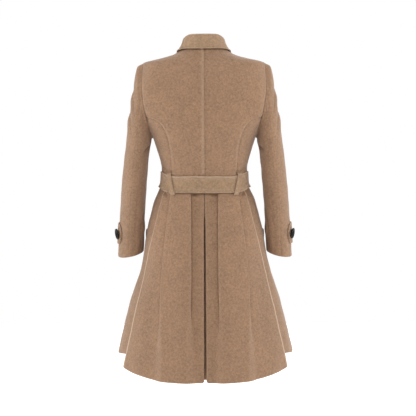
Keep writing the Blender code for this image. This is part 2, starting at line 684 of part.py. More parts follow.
def skirt_row(share, sign):
    """One row of a back skirt, from the slit to the turned-under end of the lap pleat."""
    z = SKIRT_TOP_Z + share * (HEM_BACK_Z - SKIRT_TOP_Z)
    at_centre, at_side, at_lap = (fold_run(pleat, z) for pleat in (CENTRE_PLEAT, SIDE_PLEAT, LAP_PLEAT))
    pitch, radius = PLEAT_PITCH, PLEAT_PITCH / 2
    edge = (SLIT_GAP_TOP + (SLIT_GAP_HEM - SLIT_GAP_TOP) * share) / 2
    centre = opened_fold(z_fold(at_centre + PLEAT_TUCK, at_centre + radius, (2 * pitch, pitch, 0.0)),
                         CENTRE_PLEAT, at_centre, share)
    side = opened_fold(z_fold(at_side - radius, at_side - PLEAT_TUCK, (0.0, pitch, 2 * pitch)),
                       SIDE_PLEAT, at_side, share)
    hold = (max(at_side, side[-1, 0]) + PLEAT_HOLD, side[-1, 1])
    slope = (hold[1] - EDGE_DEPTH) / (at_lap - hold[0])
    lap = half_turn(at_lap - radius, EDGE_DEPTH, EDGE_DEPTH + pitch, 1)
    under = (at_lap - PLEAT_TUCK, EDGE_DEPTH + slope * PLEAT_TUCK + pitch)
    slit = slit_edge(edge, centre[0, 1], sign)
    row = np.concatenate([slit, between(slit[-1], centre[0], 4), centre, between(centre[-1], side[0], 4), side,
                          [hold], between(hold, lap[0], 3), lap, [under]])
    from_slit, from_lap = row[:, 0] - edge, at_lap - row[:, 0]
    from_slit[:len(slit) - 1] = 0.0
    from_lap[-2:] = 0.0
    hem = HEM_BACK_Z + (HEM_LAP_Z - HEM_BACK_Z) * np.clip((row[:, 0] - at_side) / (at_lap - at_side), 0, 1)
    hem += rounding(from_slit, SLIT_CORNER) + rounding(from_lap, LAP_CORNER)
    angle, run = ring_run(z)
    height = SKIRT_TOP_Z + share * (hem - SKIRT_TOP_Z)
    return on_form(np.interp(row[:, 0], run, angle), height, -PLEAT_WOOL / 2 - row[:, 1])


def make_skirt_back(name, sign):
    points = np.stack([skirt_row(share, sign) for share in SKIRT_ROWS])
    cloth(name, sided(points, sign), PLEAT_WOOL, offset=0.0)


def make_skirt_front(name, sign):
    """From under the lap pleat round the side, past the middle of the front."""
    rows = []
    for share in SKIRT_ROWS:
        z = SKIRT_TOP_Z + share * (HEM_SIDE_Z - SKIRT_TOP_Z)
        angle, run = ring_run(z)
        at_lap = fold_run(LAP_PLEAT, z)
        end = np.interp(-angle_at(-FRONT_LAP, z, front=True), -angle, run)
        ramp = at_lap + SIDE_RAMP * np.array(RAMP_STEPS)
        length = np.concatenate([[at_lap - PLEAT_TUCK], joined(ramp, np.linspace(ramp[-1], end, 9))])
        depth = (EDGE_DEPTH + 2 * PLEAT_PITCH) * (1 - ease((length - at_lap) / SIDE_RAMP))
        depth[0] += SKIRT_UNDER_SLOPE * PLEAT_TUCK
        at = np.interp(length, run, angle)
        hem = HEM_UNDER_Z + (HEM_SIDE_Z - HEM_UNDER_Z) * ease((length - at_lap) / HEM_UNDER_RAMP)
        height = SKIRT_TOP_Z + share * (hem - SKIRT_TOP_Z)
        rows.append(on_form(at, height, front_lift(at, height, sign) - depth - WOOL / 2))
    cloth(name, sided(np.stack(rows), sign), WOOL, offset=0.0)


# The belt and the trim
def belt_rise(angle):
    """How much higher the belt runs at the sides and the front than at the back."""
    return BELT_SIDE_RISE * ease((BELT_RISE_FROM - np.sin(angle)) / BELT_RISE_SPAN)


def make_belt(name):
    angle = np.linspace(BELT_END, BELT_START, BELT_CELLS + 1)
    z = np.array([BELT_TOP_Z, WAIST_Z, BELT_LOW_Z])[:, None] + belt_rise(angle)
    rise = ease((angle - BELT_RISE_START) / (BELT_RISE_END - BELT_RISE_START))
    angle, z, rise = np.broadcast_arrays(angle, z, rise)
    cloth(name, on_form(angle, z, BELT_AIR + (BELT_WOOL + LAY_GAP) * rise), BELT_WOOL)


def make_belt_loop(name, sign):
    """A narrow strip that stands over the belt, sewn down above and below it."""
    over = BELT_AIR + BELT_WOOL + LAY_GAP
    reach = np.array([LOOP_OVERHANG, LOOP_BEND, LOOP_CLEAR])
    middle = angle_at((LOOP_TOP_X + LOOP_LOW_X) / 2, WAIST_Z)
    z = np.concatenate([BELT_TOP_Z + reach, BELT_LOW_Z - reach[::-1]])[:, None] + belt_rise(middle)
    lift = np.array([LAY_GAP, LOOP_BEND_LIFT, over, over, LOOP_BEND_LIFT, LAY_GAP])[:, None]
    across = LOOP_WIDTH * np.linspace(-0.5, 0.5, 3)
    x = LOOP_TOP_X + (LOOP_LOW_X - LOOP_TOP_X) * (z[0] - z) / (z[0] - z[-1]) + across
    z, lift = np.broadcast_to(z, x.shape), np.broadcast_to(lift, x.shape)
    cloth(name, sided(on_form(angle_at(x, z), z, lift), sign), WOOL)


def make_buckle(name):
    """A plain frame of round wire on the belt's front."""
    spots = []
    for quarter, (way_x, way_z) in enumerate(((1, 1), (-1, 1), (-1, -1), (1, -1))):
        corner_x = BUCKLE_X + way_x * (BUCKLE_WIDTH / 2 - BUCKLE_CORNER)
        corner_z = WAIST_Z + BELT_SIDE_RISE + way_z * (BUCKLE_HEIGHT / 2 - BUCKLE_CORNER)
        for step in range(4):
            turn = math.radians(90 * quarter + 30 * step)
            spots.append((corner_x + BUCKLE_CORNER * math.cos(turn), BUCKLE_Y,
                          corner_z + BUCKLE_CORNER * math.sin(turn), 1.0))
    wire = bpy.data.curves.new(name, "CURVE")
    wire.dimensions = "3D"
    wire.bevel_depth = BUCKLE_WIRE
    wire.bevel_resolution = 1
    line = wire.splines.new("POLY")
    line.points.add(len(spots) - 1)
    line.points.foreach_set("co", np.array(spots).reshape(-1))
    line.use_cyclic_u = True
    place(name, wire, BLACK_HORN)


def make_button(name, base, axis):
    """A turned disc with a raised rim, standing on a base point."""
    axis = Vector(axis).normalized()
    side = axis.orthogonal().normalized()
    other = axis.cross(side)
    base = Vector(base)
    shape = bmesh.new()
    top = shape.verts.new(base + axis * BUTTON_PROFILE[0][1])
    foot = shape.verts.new(base)
    rings = []
    for radius, height in BUTTON_PROFILE:
        turns = [2 * math.pi * step / BUTTON_STEPS for step in range(BUTTON_STEPS)]
        rings.append([shape.verts.new(base + axis * height + BUTTON_RADIUS * radius
                                      * (side * math.cos(turn) + other * math.sin(turn))) for turn in turns])
    for step in range(BUTTON_STEPS):
        after = (step + 1) % BUTTON_STEPS
        shape.faces.new((top, rings[0][step], rings[0][after]))
        shape.faces.new((foot, rings[-1][after], rings[-1][step]))
        for upper, lower in zip(rings, rings[1:]):
            shape.faces.new((upper[step], lower[step], lower[after], upper[after]))
    mesh = bpy.data.meshes.new(name)
    shape.to_mesh(mesh)
    shape.free()
    mesh.shade_smooth()
    place(name, mesh, BLACK_HORN)


def make_cuff_button(name, sign):
    row = (TAB_TOP_ROW + TAB_LOW_ROW) / 2
    low, high = (on_sleeve(TAB_BUTTON, row, lift) for lift in (0.0, 1.0))
    way = np.array([sign, 1.0, 1.0])
    lift = TAB_AIR + DOUBLE_WOOL + BUTTON_AIR
    make_button(name, (low + lift * (high - low)) * way, (high - low) * way)


def make_front_button(name, x, z, lift):
    angle = angle_at(x, z, front=True)
    low, high = (on_form(angle, np.array(z), way) for way in (0.0, 1.0))
    make_button(name, low + lift * (high - low), high - low)


def make_pocket_flap(name, sign):
    """A strip on the front skirt whose back edge leans forwards, so only its upper corner shows from behind."""
    along = np.linspace(0, 1, 9)
    down = np.linspace(0, 1, 3)[:, None]
    angle = FLAP_BACK - FLAP_LEAN * down + (FLAP_FRONT - FLAP_BACK) * along
    z = FLAP_TOP_Z + FLAP_SLANT * along - FLAP_HEIGHT * down
    cloth(name, sided(on_form(angle, z, FLAP_AIR), sign), DOUBLE_WOOL)


# The build
for old in list(bpy.data.objects):
    bpy.data.objects.remove(old)
COAT = bpy.data.collections.new("double_breasted_coat")
bpy.context.scene.collection.children.link(COAT)

for side, sign in SIDES:
    make_back(f"back_{side}", sign)
    make_side_back(f"side_back_{side}", sign)
    make_front(f"front_{side}", sign)
    make_lapel(f"lapel_{side}", sign)
    make_sleeve(f"top_sleeve_{side}", sign, BACK_SLEEVE_SEAM, FRONT_SLEEVE_SEAM, 11)
    make_sleeve(f"under_sleeve_{side}", sign, FRONT_SLEEVE_SEAM + 2 * math.pi, BACK_SLEEVE_SEAM, 9)
    make_cuff_tab(f"cuff_tab_{side}", sign)
    make_cuff_button(f"cuff_button_{side}", sign)
    make_skirt_back(f"skirt_back_{side}", sign)
    make_skirt_front(f"skirt_front_{side}", sign)
    make_belt_loop(f"belt_loop_{side}", sign)
    make_pocket_flap(f"pocket_flap_{side}", sign)
    for number, row in enumerate(BUTTON_ROWS, 1):
        lift = row.left_lift if sign > 0 else row.right_lift
        make_front_button(f"front_button_{side}_{number}", sign * BUTTON_X, row.height, lift)
make_collar("collar")
make_belt("belt")
make_buckle("buckle")
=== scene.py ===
# %% [markdown]
# # A belted wool coat, seen from behind
# The coat is filled out as when it is worn, and nobody is in it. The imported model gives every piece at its
# real size, in metres, with the nape at the origin, +Z up and the coat's back facing +Y. This lesson sews a
# finer cloth shell over each of those pieces, and gives the wool, the horn and the thread their finish.

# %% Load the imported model
import math
from collections import namedtuple

import bpy
import numpy as np
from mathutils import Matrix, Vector


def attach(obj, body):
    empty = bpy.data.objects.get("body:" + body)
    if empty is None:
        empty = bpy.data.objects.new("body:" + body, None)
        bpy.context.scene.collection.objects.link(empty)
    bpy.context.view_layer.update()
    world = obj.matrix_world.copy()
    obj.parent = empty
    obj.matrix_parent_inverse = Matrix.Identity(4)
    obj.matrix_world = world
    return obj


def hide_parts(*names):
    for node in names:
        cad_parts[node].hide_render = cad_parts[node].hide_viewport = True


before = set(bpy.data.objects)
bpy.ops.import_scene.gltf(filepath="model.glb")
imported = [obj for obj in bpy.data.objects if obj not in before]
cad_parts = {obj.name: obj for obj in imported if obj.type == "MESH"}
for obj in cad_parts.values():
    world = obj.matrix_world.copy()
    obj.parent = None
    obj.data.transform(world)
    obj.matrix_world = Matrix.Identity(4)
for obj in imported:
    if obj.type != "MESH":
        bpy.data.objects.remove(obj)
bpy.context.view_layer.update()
print(len(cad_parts), "pieces in the packed model")

# %% [markdown]
# ## Camera, floor and light
# The picture is taken square from behind, from a little above the middle of the coat, with a long lens. A
# wearer of this size stands on a floor 1.42 m under the nape, so the pale floor lies there. One could light
# a coat with lamps alone, but a studio with white walls also sends soft light from everywhere. So the world
# is white, and dimmer as a light than as a backdrop. Two large soft lamps stand beside the camera and high,
# which leaves the hem darker than the shoulders, two at the sides brighten the sleeves, one above lights the
# shoulders, and one lights the front.

# %% Camera, floor and lamps
CAMERA_SPOT = (-0.0119, 2.6, -0.1897)
CAMERA_PITCH = math.radians(6.53)
CAMERA_ROLL = math.radians(0.3)
CAMERA_LENS = 72.6
SENSOR_WIDTH = 36.0
LAMP_AIM = Vector((0.0, 0.1, -0.45))
WHITE = (1.0, 1.0, 1.0, 1.0)
FLOOR_COLOUR = (0.95, 0.95, 0.95, 1.0)
FLOOR_Z = -1.42
FLOOR_SIZE = 4.4
WORLD_LIGHT = 0.20
FLOOR_GLOW = 0.60
Lamp = namedtuple("Lamp", "name spot size power")
LAMPS = (
    Lamp("near_left_lamp", (0.9, 1.7, 0.75), 0.9, 11.8),
    Lamp("near_right_lamp", (-0.9, 1.7, 0.75), 0.9, 11.8),
    Lamp("side_left_lamp", (2.4, 0.16, 0.3), 1.4, 32.5),
    Lamp("side_right_lamp", (-2.4, 0.16, 0.3), 1.4, 31.5),
    Lamp("front_lamp", (-1.1, -2.4, 0.6), 1.6, 30.0),
    Lamp("top_lamp", (0.0, 0.2, 1.9), 1.2, 9.0),
)
scene = bpy.context.scene


def put(name, data):
    """Links a new object for some data into the scene."""
    thing = bpy.data.objects.new(name, data)
    scene.collection.objects.link(thing)
    return thing


def set_inputs(node, values):
    """Sets inputs of a shader node by their names."""
    for name, value in values.items():
        node.inputs[name].default_value = value


def add_node(tree, kind, values=None):
    """A new shader node of a kind, with the values of some of its inputs."""
    node = tree.nodes.new(f"ShaderNode{kind}")
    set_inputs(node, values or {})
    return node


def link_all(tree, *pairs):
    """Links each pair of an output and an input."""
    for start, end in pairs:
        tree.links.new(start, end)


def new_material(name):
    """A material with its node tree and its Principled shader."""
    material = bpy.data.materials.new(name)
    material.use_nodes = True
    return material, material.node_tree, material.node_tree.nodes["Principled BSDF"]


lens = bpy.data.cameras.new("camera")
lens.lens = CAMERA_LENS
lens.sensor_width = SENSOR_WIDTH
camera = put("camera", lens)
camera.location = CAMERA_SPOT
camera.rotation_euler = (math.pi / 2 - CAMERA_PITCH, CAMERA_ROLL, math.pi)
scene.camera = camera
scene.view_settings.view_transform = "Standard"

for lamp in LAMPS:
    light = bpy.data.lights.new(lamp.name, "AREA")
    light.size = lamp.size
    light.energy = lamp.power
    stand = put(lamp.name, light)
    stand.location = lamp.spot
    stand.rotation_euler = (LAMP_AIM - Vector(lamp.spot)).to_track_quat("-Z", "Y").to_euler()

world = bpy.data.worlds.new("white_studio")
world.use_nodes = True
sky = world.node_tree
as_light = sky.nodes["Background"]
set_inputs(as_light, {"Color": WHITE, "Strength": WORLD_LIGHT})
as_backdrop = add_node(sky, "Background", {"Color": WHITE})
seen = add_node(sky, "LightPath")
either = add_node(sky, "MixShader")
link_all(sky, (seen.outputs["Is Camera Ray"], either.inputs["Fac"]),
         (as_light.outputs["Background"], either.inputs[1]),
         (as_backdrop.outputs["Background"], either.inputs[2]),
         (either.outputs["Shader"], sky.nodes["World Output"].inputs["Surface"]))
scene.world = world

floor_mesh = bpy.data.meshes.new("floor")
half = FLOOR_SIZE / 2
corners = [(x, y, FLOOR_Z) for x, y in ((-half, -half), (half, -half), (half, half), (-half, half))]
floor_mesh.from_pydata(corners, [], [(0, 1, 2, 3)])
floor = put("floor", floor_mesh)
pale_floor, _, paint = new_material("pale_floor")
set_inputs(paint, {"Base Color": FLOOR_COLOUR, "Roughness": 0.9,
                   "Emission Color": WHITE, "Emission Strength": FLOOR_GLOW})
floor_mesh.materials.append(pale_floor)
print("floor at", FLOOR_Z, "m, camera", CAMERA_SPOT)

# %% [markdown]
# ## Curves that every piece uses
# A pattern cutter draws smooth lines through a few measured points. These helpers do the same with numpy: a
# curve that doesn't overshoot, a soft step, a bell, and the length along a line of points.

# %% Curve helpers
TINY = 1e-9
HALVINGS = 40
PATH_POINTS = 240


def smooth_curve(knots, values, at):
    """A cubic through knots. The slope at each is the harmonic mean of its neighbours', or 0 at a turn."""
    step = np.diff(knots)
    rise = np.diff(values) / step
    product = rise[:-1] * rise[1:]
    same_way = product > 0
    slope = np.zeros(len(values))
    slope[0], slope[-1] = rise[0], rise[-1]
    slope[1:-1][same_way] = (2 * product / np.where(same_way, rise[:-1] + rise[1:], 1))[same_way]
    k = np.clip(np.searchsorted(knots, at) - 1, 0, len(step) - 1)
    t = (at - knots[k]) / step[k]
    held = values[k] * (1 + 2 * t) * (1 - t) ** 2 + values[k + 1] * t**2 * (3 - 2 * t)
    return held + step[k] * t * (1 - t) * (slope[k] * (1 - t) - slope[k + 1] * t)


def ease(value):
    """A smooth step from 0 to 1: three squares minus two cubes."""
    t = np.clip(value, 0.0, 1.0)
    return t * t * (3 - 2 * t)


def bell(distance, width):
    """A bell curve: e to the minus square of the distance, counted in widths."""
    return np.exp(-(distance / width) ** 2)


def blend(first, last, share):
    """The first value plus a share of the way to the last one."""
    return first + (last - first) * share


def halved(low, high, short):
    """Where a test turns from true to false between two arrays, found by halving."""
    for _ in range(HALVINGS):
        middle = (low + high) / 2
        before = short(middle)
        low = np.where(before, middle, low)
        high = np.where(before, high, middle)
    return low


def unit(vectors):
    """Vectors divided by their lengths."""
    return vectors / np.maximum(np.linalg.norm(vectors, axis=-1, keepdims=True), TINY)


def bezier(start, first, second, end):
    """A cubic curve from start to end that leans towards its two middle points."""
    t = np.linspace(0, 1, PATH_POINTS)[:, None]
    a, b, c, d = (np.array(corner) for corner in (start, first, second, end))
    return a * (1 - t) ** 3 + 3 * b * t * (1 - t) ** 2 + 3 * c * t**2 * (1 - t) + d * t**3


def joined(*runs):
    """Runs of points end to end, with each shared corner once."""
    return np.concatenate([runs[0]] + [run[1:] for run in runs[1:]])


def run_along(points, axis=0):
    """The length along a grid of points, up to each of them."""
    rows = np.moveaxis(points, axis, 0)
    steps = np.linalg.norm(np.diff(rows, axis=0), axis=-1)
    run = np.concatenate([np.zeros_like(steps[:1]), np.cumsum(steps, axis=0)])
    return np.moveaxis(run, 0, axis)


def shares(points):
    """How far along a line of points each of them is, from 0 to 1."""
    run = run_along(points)
    return run / run[-1]


def read_off(goal, run, points):
    """The points of a line at the wanted lengths along it."""
    return np.stack([np.interp(goal, run, column) for column in points.T], axis=-1)


print("half way up a soft step:", ease(0.5), "and one width out on a bell:", round(float(bell(1.0, 1.0)), 3))

# %% [markdown]
# ## The figure that fills the coat
# On the real coat the cloth takes its shape from the cut and from the body under it. One could sculpt that,
# but a table of heights with a half width, a reach behind and a reach before is what a tailor measures, and
# every panel can then be laid on the same form. An angle of 0 is the left side, a quarter turn is the centre
# back.

# %% The form
NECK_POINT_Z = 0.010
SHOULDER_TIP_Z = -0.0432
ARMPIT_Z = -0.268
BREAK_Z = -0.222
WAIST_Z = -0.406
HEM_BACK_Z = -0.984
HEM_SIDE_Z = -0.952
SQUARENESS = 0.0226
BLADE_FILL = 0.009
BLADE_X = 0.183
BLADE_WIDTH = 0.030
BLADE_TURN = 0.3
BLADE_TOP = (-0.050, -0.110)
BLADE_LOW = (-0.200, -0.255)
Level = namedtuple("Level", "height half_width back front side", defaults=(0.0,))
LEVELS = (
    Level(0.014, 0.0565, 0.0580, 0.0460),
    Level(NECK_POINT_Z, 0.0605, 0.0595, 0.0480),
    Level(-0.004, 0.0735, 0.0630, 0.0520),
    Level(-0.016, 0.0905, 0.0660, 0.0580),
    Level(-0.0275, 0.1300, 0.0700, 0.0630),
    Level(-0.038, 0.1753, 0.0740, 0.0690),
    Level(SHOULDER_TIP_Z, 0.1860, 0.0765, 0.0730),
    Level(-0.080, 0.1935, 0.0890, 0.0930),
    Level(-0.155, 0.2000, 0.1040, 0.1180),
    Level(-0.215, 0.1830, 0.1070, 0.1320),
    Level(-0.250, 0.1662, 0.1050, 0.1350),
    Level(ARMPIT_Z, 0.1585, 0.1030, 0.1340),
    Level(-0.302, 0.1475, 0.0980, 0.1280),
    Level(-0.364, 0.1320, 0.0880, 0.1130),
    Level(WAIST_Z, 0.1330, 0.0860, 0.1080),
    Level(-0.431, 0.1432, 0.0890, 0.1120, -0.002),
    Level(-0.465, 0.1578, 0.0980, 0.1200, -0.006),
    Level(-0.490, 0.1649, 0.1050, 0.1260, -0.010),
    Level(-0.542, 0.1780, 0.1180, 0.1360, -0.016),
    Level(-0.658, 0.2000, 0.1440, 0.1550, -0.028),
    Level(-0.791, 0.2408, 0.1720, 0.1770, -0.045),
    Level(-0.940, 0.2787, 0.2040, 0.1980, -0.060),
    Level(-1.000, 0.2930, 0.2150, 0.2050, -0.065),
)


def level(name, z):
    """One measure of the form at a height."""
    heights = np.array([row.height for row in LEVELS[::-1]])
    values = np.array([getattr(row, name) for row in LEVELS[::-1]])
    return smooth_curve(heights, values, z)


def blade_fill(x, along, z):
    """The fullness of the back beside the armholes: a bell across, with a soft start and end in height."""
    high = ease((BLADE_TOP[0] - z) / (BLADE_TOP[0] - BLADE_TOP[1]))
    low = ease((BLADE_LOW[0] - z) / (BLADE_LOW[0] - BLADE_LOW[1]))
    return BLADE_FILL * bell(np.abs(x) - BLADE_X, BLADE_WIDTH) * ease(along / BLADE_TURN) * high * (1 - low)


def ring_point(angle, z):
    """The form at a height: an ellipse, squared off a little by its third harmonic."""
    angle, z = np.broadcast_arrays(angle, z)
    across = (np.cos(angle) - SQUARENESS * np.cos(3 * angle)) / (1 - SQUARENESS)
    along = (np.sin(angle) + SQUARENESS * np.sin(3 * angle)) / (1 - SQUARENESS)
    side = level("side", z)
    reach = np.where(along > 0, level("back", z) - side, level("front", z) + side)
    x = level("half_width", z) * across
    return np.stack([x, side + reach * along + blade_fill(x, along, z), z], axis=-1)


def angle_at(x, z, front=False):
    """The angle where a ring has this x, on its back half or on its front half."""
    x, z = np.broadcast_arrays(np.asarray(x, float), np.asarray(z, float))
    angle = halved(np.zeros(x.shape), np.full(x.shape, math.pi), lambda at: ring_point(at, z)[..., 0] > x)
    return -angle if front else angle


def angle_facing(x, y, z):
    """The angle of the ring point that lies in the same direction from the ring's middle."""
    middle_y = level("side", z)
    wanted = np.arctan2(y - middle_y, x)

    def short(at):
        point = ring_point(at, z)
        return np.arctan2(point[..., 1] - middle_y, point[..., 0]) < wanted

    return halved(np.full(x.shape, -math.pi), np.full(x.shape, math.pi), short)


waist_ring = ring_point(np.linspace(0, 2 * math.pi, PATH_POINTS), WAIST_Z)
print(f"waist round the coat: {run_along(waist_ring)[-1]:.3f} m")

# %% [markdown]
# ## Creases, placed one by one
# Thick wool falls in a few soft folds: it bunches over the belt beside the loops, drags from the armholes,
# and breaks inside the elbows and over the cuffs. A cloth simulation would put such folds anywhere, so each
# one that shows is placed as a line with a width and a depth, and the hidden sides get similar ones.
# They move the form itself, so whatever lies on a panel moves with it.

# %% Creases of the body and the sleeves
Crease = namedtuple("Crease", "from_u from_v to_u to_v width depth")


def creases(*rows):
    """Rows of numbers as creases: where each starts and ends, how wide and how deep it is."""
    return [Crease(*row) for row in rows]


BACK_CREASES = creases(
    (0.1280, -0.3560, 0.1090, -0.3690, 0.0045, -0.0032),
    (0.1050, -0.3712, 0.0860, -0.3640, 0.0042, -0.0028),
    (0.1190, -0.3510, 0.0960, -0.3590, 0.0048, 0.0022),
    (0.1010, -0.3560, 0.0800, -0.3470, 0.0060, -0.0010),
    (-0.1270, -0.3570, -0.1100, -0.3690, 0.0045, -0.0033),
    (-0.1040, -0.3715, -0.0890, -0.3670, 0.0040, -0.0025),
    (-0.1170, -0.3520, -0.0940, -0.3600, 0.0050, 0.0021),
    (-0.0970, -0.3540, -0.0820, -0.3440, 0.0065, -0.0009),
    (0.0560, -0.3780, 0.0620, -0.3380, 0.0090, -0.0013),
    (0.0330, -0.3780, 0.0350, -0.3480, 0.0080, 0.0010),
    (-0.0190, -0.3780, -0.0170, -0.3520, 0.0075, -0.0009),
    (-0.0520, -0.3780, -0.0590, -0.3330, 0.0100, -0.0012),
    (0.1640, -0.2020, 0.1120, -0.1850, 0.0100, -0.0010),
    (0.1720, -0.1500, 0.1300, -0.1290, 0.0120, 0.0009),
    (-0.1660, -0.1960, -0.1190, -0.1830, 0.0110, -0.0011),
    (-0.1700, -0.1420, -0.1220, -0.1270, 0.0130, 0.0008),
    (0.1390, -0.2260, 0.1230, -0.2390, 0.0040, -0.0008),
    (0.1210, -0.2200, 0.1090, -0.2330, 0.0035, 0.0007),
    (-0.1360, -0.2250, -0.1240, -0.2370, 0.0040, -0.0007),
    (-0.1150, -0.2210, -0.1060, -0.2350, 0.0035, 0.0007),
    (0.0400, -0.4340, 0.0240, -0.4360, 0.0045, -0.0050),
    (-0.0400, -0.4340, -0.0260, -0.4365, 0.0045, -0.0046),
    (0.1260, -0.4290, 0.1170, -0.4420, 0.0040, -0.0060),
    (-0.1250, -0.4290, -0.1160, -0.4410, 0.0042, -0.0056),
    (0.0700, -0.5600, 0.0760, -0.9600, 0.0220, 0.0030),
    (-0.0680, -0.6200, -0.0800, -0.9500, 0.0240, 0.0026),
    (0.1500, -0.6600, 0.1900, -0.9500, 0.0200, -0.0030),
    (-0.1560, -0.6000, -0.1980, -0.9500, 0.0230, -0.0034),
    (0.2000, -0.6300, 0.2200, -0.7600, 0.0300, -0.0024),
)
FRONT_CREASES = creases(
    (0.2000, -0.6300, 0.2200, -0.7600, 0.0300, -0.0024),
    (0.0920, -0.3000, 0.0700, -0.3760, 0.0080, -0.0014),
    (-0.0980, -0.3100, -0.0780, -0.3770, 0.0090, -0.0013),
    (0.1180, -0.3450, 0.1010, -0.3770, 0.0055, 0.0013),
    (-0.1200, -0.3380, -0.1070, -0.3760, 0.0060, 0.0012),
    (0.1560, -0.1980, 0.1160, -0.2290, 0.0100, -0.0012),
    (-0.1580, -0.2060, -0.1220, -0.2260, 0.0090, -0.0010),
    (0.1300, -0.5600, 0.1660, -0.9200, 0.0280, 0.0050),
    (0.0900, -0.6400, 0.1050, -0.9300, 0.0240, -0.0036),
    (-0.0920, -0.5800, -0.1180, -0.9200, 0.0260, 0.0044),
    (-0.1500, -0.6300, -0.1880, -0.9100, 0.0250, -0.0038),
    (-0.0150, -0.6900, -0.0200, -0.9300, 0.0300, 0.0030),
)
CREASE_END = 0.35
CREASE_BLEND = 0.06
# Painted shade in the creases: its share for a full crease, and the depth of a full crease.
CREASE_SHADE = 0.5
CREASE_FULL = 0.006
SLEEVE_RADIUS = 0.055
SLEEVE_RING_STEP = 0.052
LEFT_SLEEVE_CREASES = creases(
    (70, 1.5, 62, 2.8, 0.0040, -0.0014),
    (96, 2.5, 73, 4.3, 0.0050, -0.0016),
    (80, 2.4, 66, 3.6, 0.0050, 0.0012),
    (176, 3.4, 130, 5.7, 0.0055, -0.0080),
    (168, 4.9, 120, 6.2, 0.0075, -0.0020),
    (174, 5.8, 138, 6.7, 0.0070, 0.0018),
    (160, 7.2, 108, 8.2, 0.0090, -0.0014),
    (160, 9.3, 136, 10.7, 0.0058, -0.0062),
    (178, 9.9, 153, 10.9, 0.0065, 0.0034),
    (152, 10.5, 140, 11.7, 0.0055, -0.0036),
    (-40, 3.35, 58, 4.75, 0.0058, -0.0056),
    (-40, 3.95, 50, 5.2, 0.0110, 0.0030),
    (-40, 4.65, 52, 5.9, 0.0058, -0.0060),
    (-40, 5.25, 46, 6.3, 0.0110, 0.0030),
    (118, 8.4, 112, 11.6, 0.0060, -0.0016),
    (-35, 5.1, -95, 6.0, 0.0075, -0.0024),
    (-60, 6.3, -112, 6.9, 0.0080, -0.0018),
    (-28, 8.4, -82, 9.3, 0.0090, -0.0014),
    (205, 4.6, 235, 5.6, 0.0070, -0.0024),
    (198, 9.2, 232, 10.2, 0.0080, -0.0020),
)
RIGHT_SLEEVE_CREASES = creases(
    (68, 1.4, 64, 2.6, 0.0042, -0.0013),
    (98, 2.6, 76, 4.1, 0.0055, -0.0015),
    (82, 2.5, 69, 3.8, 0.0050, 0.0011),
    (175, 3.5, 133, 5.5, 0.0056, -0.0078),
    (166, 5.2, 126, 6.4, 0.0075, -0.0022),
    (176, 6.0, 142, 6.8, 0.0070, 0.0017),
    (158, 7.5, 112, 8.6, 0.0090, -0.0015),
    (162, 9.1, 140, 10.6, 0.0056, -0.0058),
    (177, 10.0, 156, 11.0, 0.0065, 0.0032),
    (150, 10.6, 142, 11.7, 0.0055, -0.0036),
    (-38, 3.30, 56, 4.65, 0.0056, -0.0054),
    (-38, 3.9, 48, 5.1, 0.0110, 0.0031),
    (-42, 4.7, 50, 5.8, 0.0058, -0.0062),
    (-40, 5.3, 44, 6.2, 0.0120, 0.0030),
    (120, 8.6, 110, 11.5, 0.0060, -0.0015),
    (-38, 5.3, -92, 6.3, 0.0080, -0.0022),
    (-64, 6.6, -110, 7.1, 0.0080, -0.0017),
    (-30, 8.0, -78, 8.8, 0.0090, -0.0015),
    (207, 4.4, 233, 5.3, 0.0070, -0.0022),
    (200, 9.4, 230, 10.3, 0.0080, -0.0021),
)
Wave = namedtuple("Wave", "across along up start height")
UNEVEN_WAVES = (
    Wave(71, 0, 43, 1.1, 0.00025),
    Wave(0, 52, -37, 0.4, 0.00025),
    Wave(29, -61, 113, 0.0, 0.00025),
    Wave(190, 130, 87, 2.0, 0.00012),
)


def crease_lift(u, v, creases):
    """For each crease, its depth times a bell of the distance to its line, fading to a third at both ends."""
    total = np.zeros(np.broadcast(u, v).shape)
    for crease in creases:
        along_u, along_v = crease.to_u - crease.from_u, crease.to_v - crease.from_v
        share = ((u - crease.from_u) * along_u + (v - crease.from_v) * along_v) / (along_u**2 + along_v**2)
        share = np.clip(share, 0, 1)
        gap = np.hypot(u - crease.from_u - share * along_u, v - crease.from_v - share * along_v)
        total += crease.depth * bell(gap, crease.width) * blend(CREASE_END, 1, np.sin(math.pi * share))
    return total


def unevenness(points):
    """A few long sine waves across each other, under a millimetre high: no cloth lies perfectly even."""
    x, y, z = np.moveaxis(points, -1, 0)
    return sum(wave.height * np.sin(wave.across * x + wave.along * y + wave.up * z + wave.start)
               for wave in UNEVEN_WAVES)


def body_creases(points):
    """The creases at points of the body: those of the back fade into those of the front at the sides."""
    x, y, z = np.moveaxis(points, -1, 0)
    behind = ease(0.5 + (y - level("side", z)) / CREASE_BLEND)
    return blend(crease_lift(x, z, FRONT_CREASES), crease_lift(x, z, BACK_CREASES), behind)


def crease_shade(crease):
    """Minus the share of a full crease's depth: painted shade, darker the deeper the crease."""
    return CREASE_SHADE * np.clip(crease / CREASE_FULL, -1, 0)


def on_form(angle, z, lift=0.0):
    """The creased outer face of the coat, moved out along the form's normal."""
    nudge = 1e-4
    point = ring_point(angle, z)
    turn = ring_point(angle + nudge, z) - ring_point(angle - nudge, z)
    climb = ring_point(angle, z + nudge) - ring_point(angle, z - nudge)
    lift = np.asarray(lift) + body_creases(point) + unevenness(point)
    return point + lift[..., None] * unit(np.cross(turn, climb))


def sleeve_creases(turn, row, sign):
    """The creases of one sleeve, in lengths round it and down it."""
    rows = [Crease(math.radians(c.from_u) * SLEEVE_RADIUS, c.from_v * SLEEVE_RING_STEP,
                   math.radians(c.to_u) * SLEEVE_RADIUS, c.to_v * SLEEVE_RING_STEP, c.width, c.depth)
            for c in (LEFT_SLEEVE_CREASES if sign > 0 else RIGHT_SLEEVE_CREASES)]
    return crease_lift(turn * SLEEVE_RADIUS, row * SLEEVE_RING_STEP, rows)


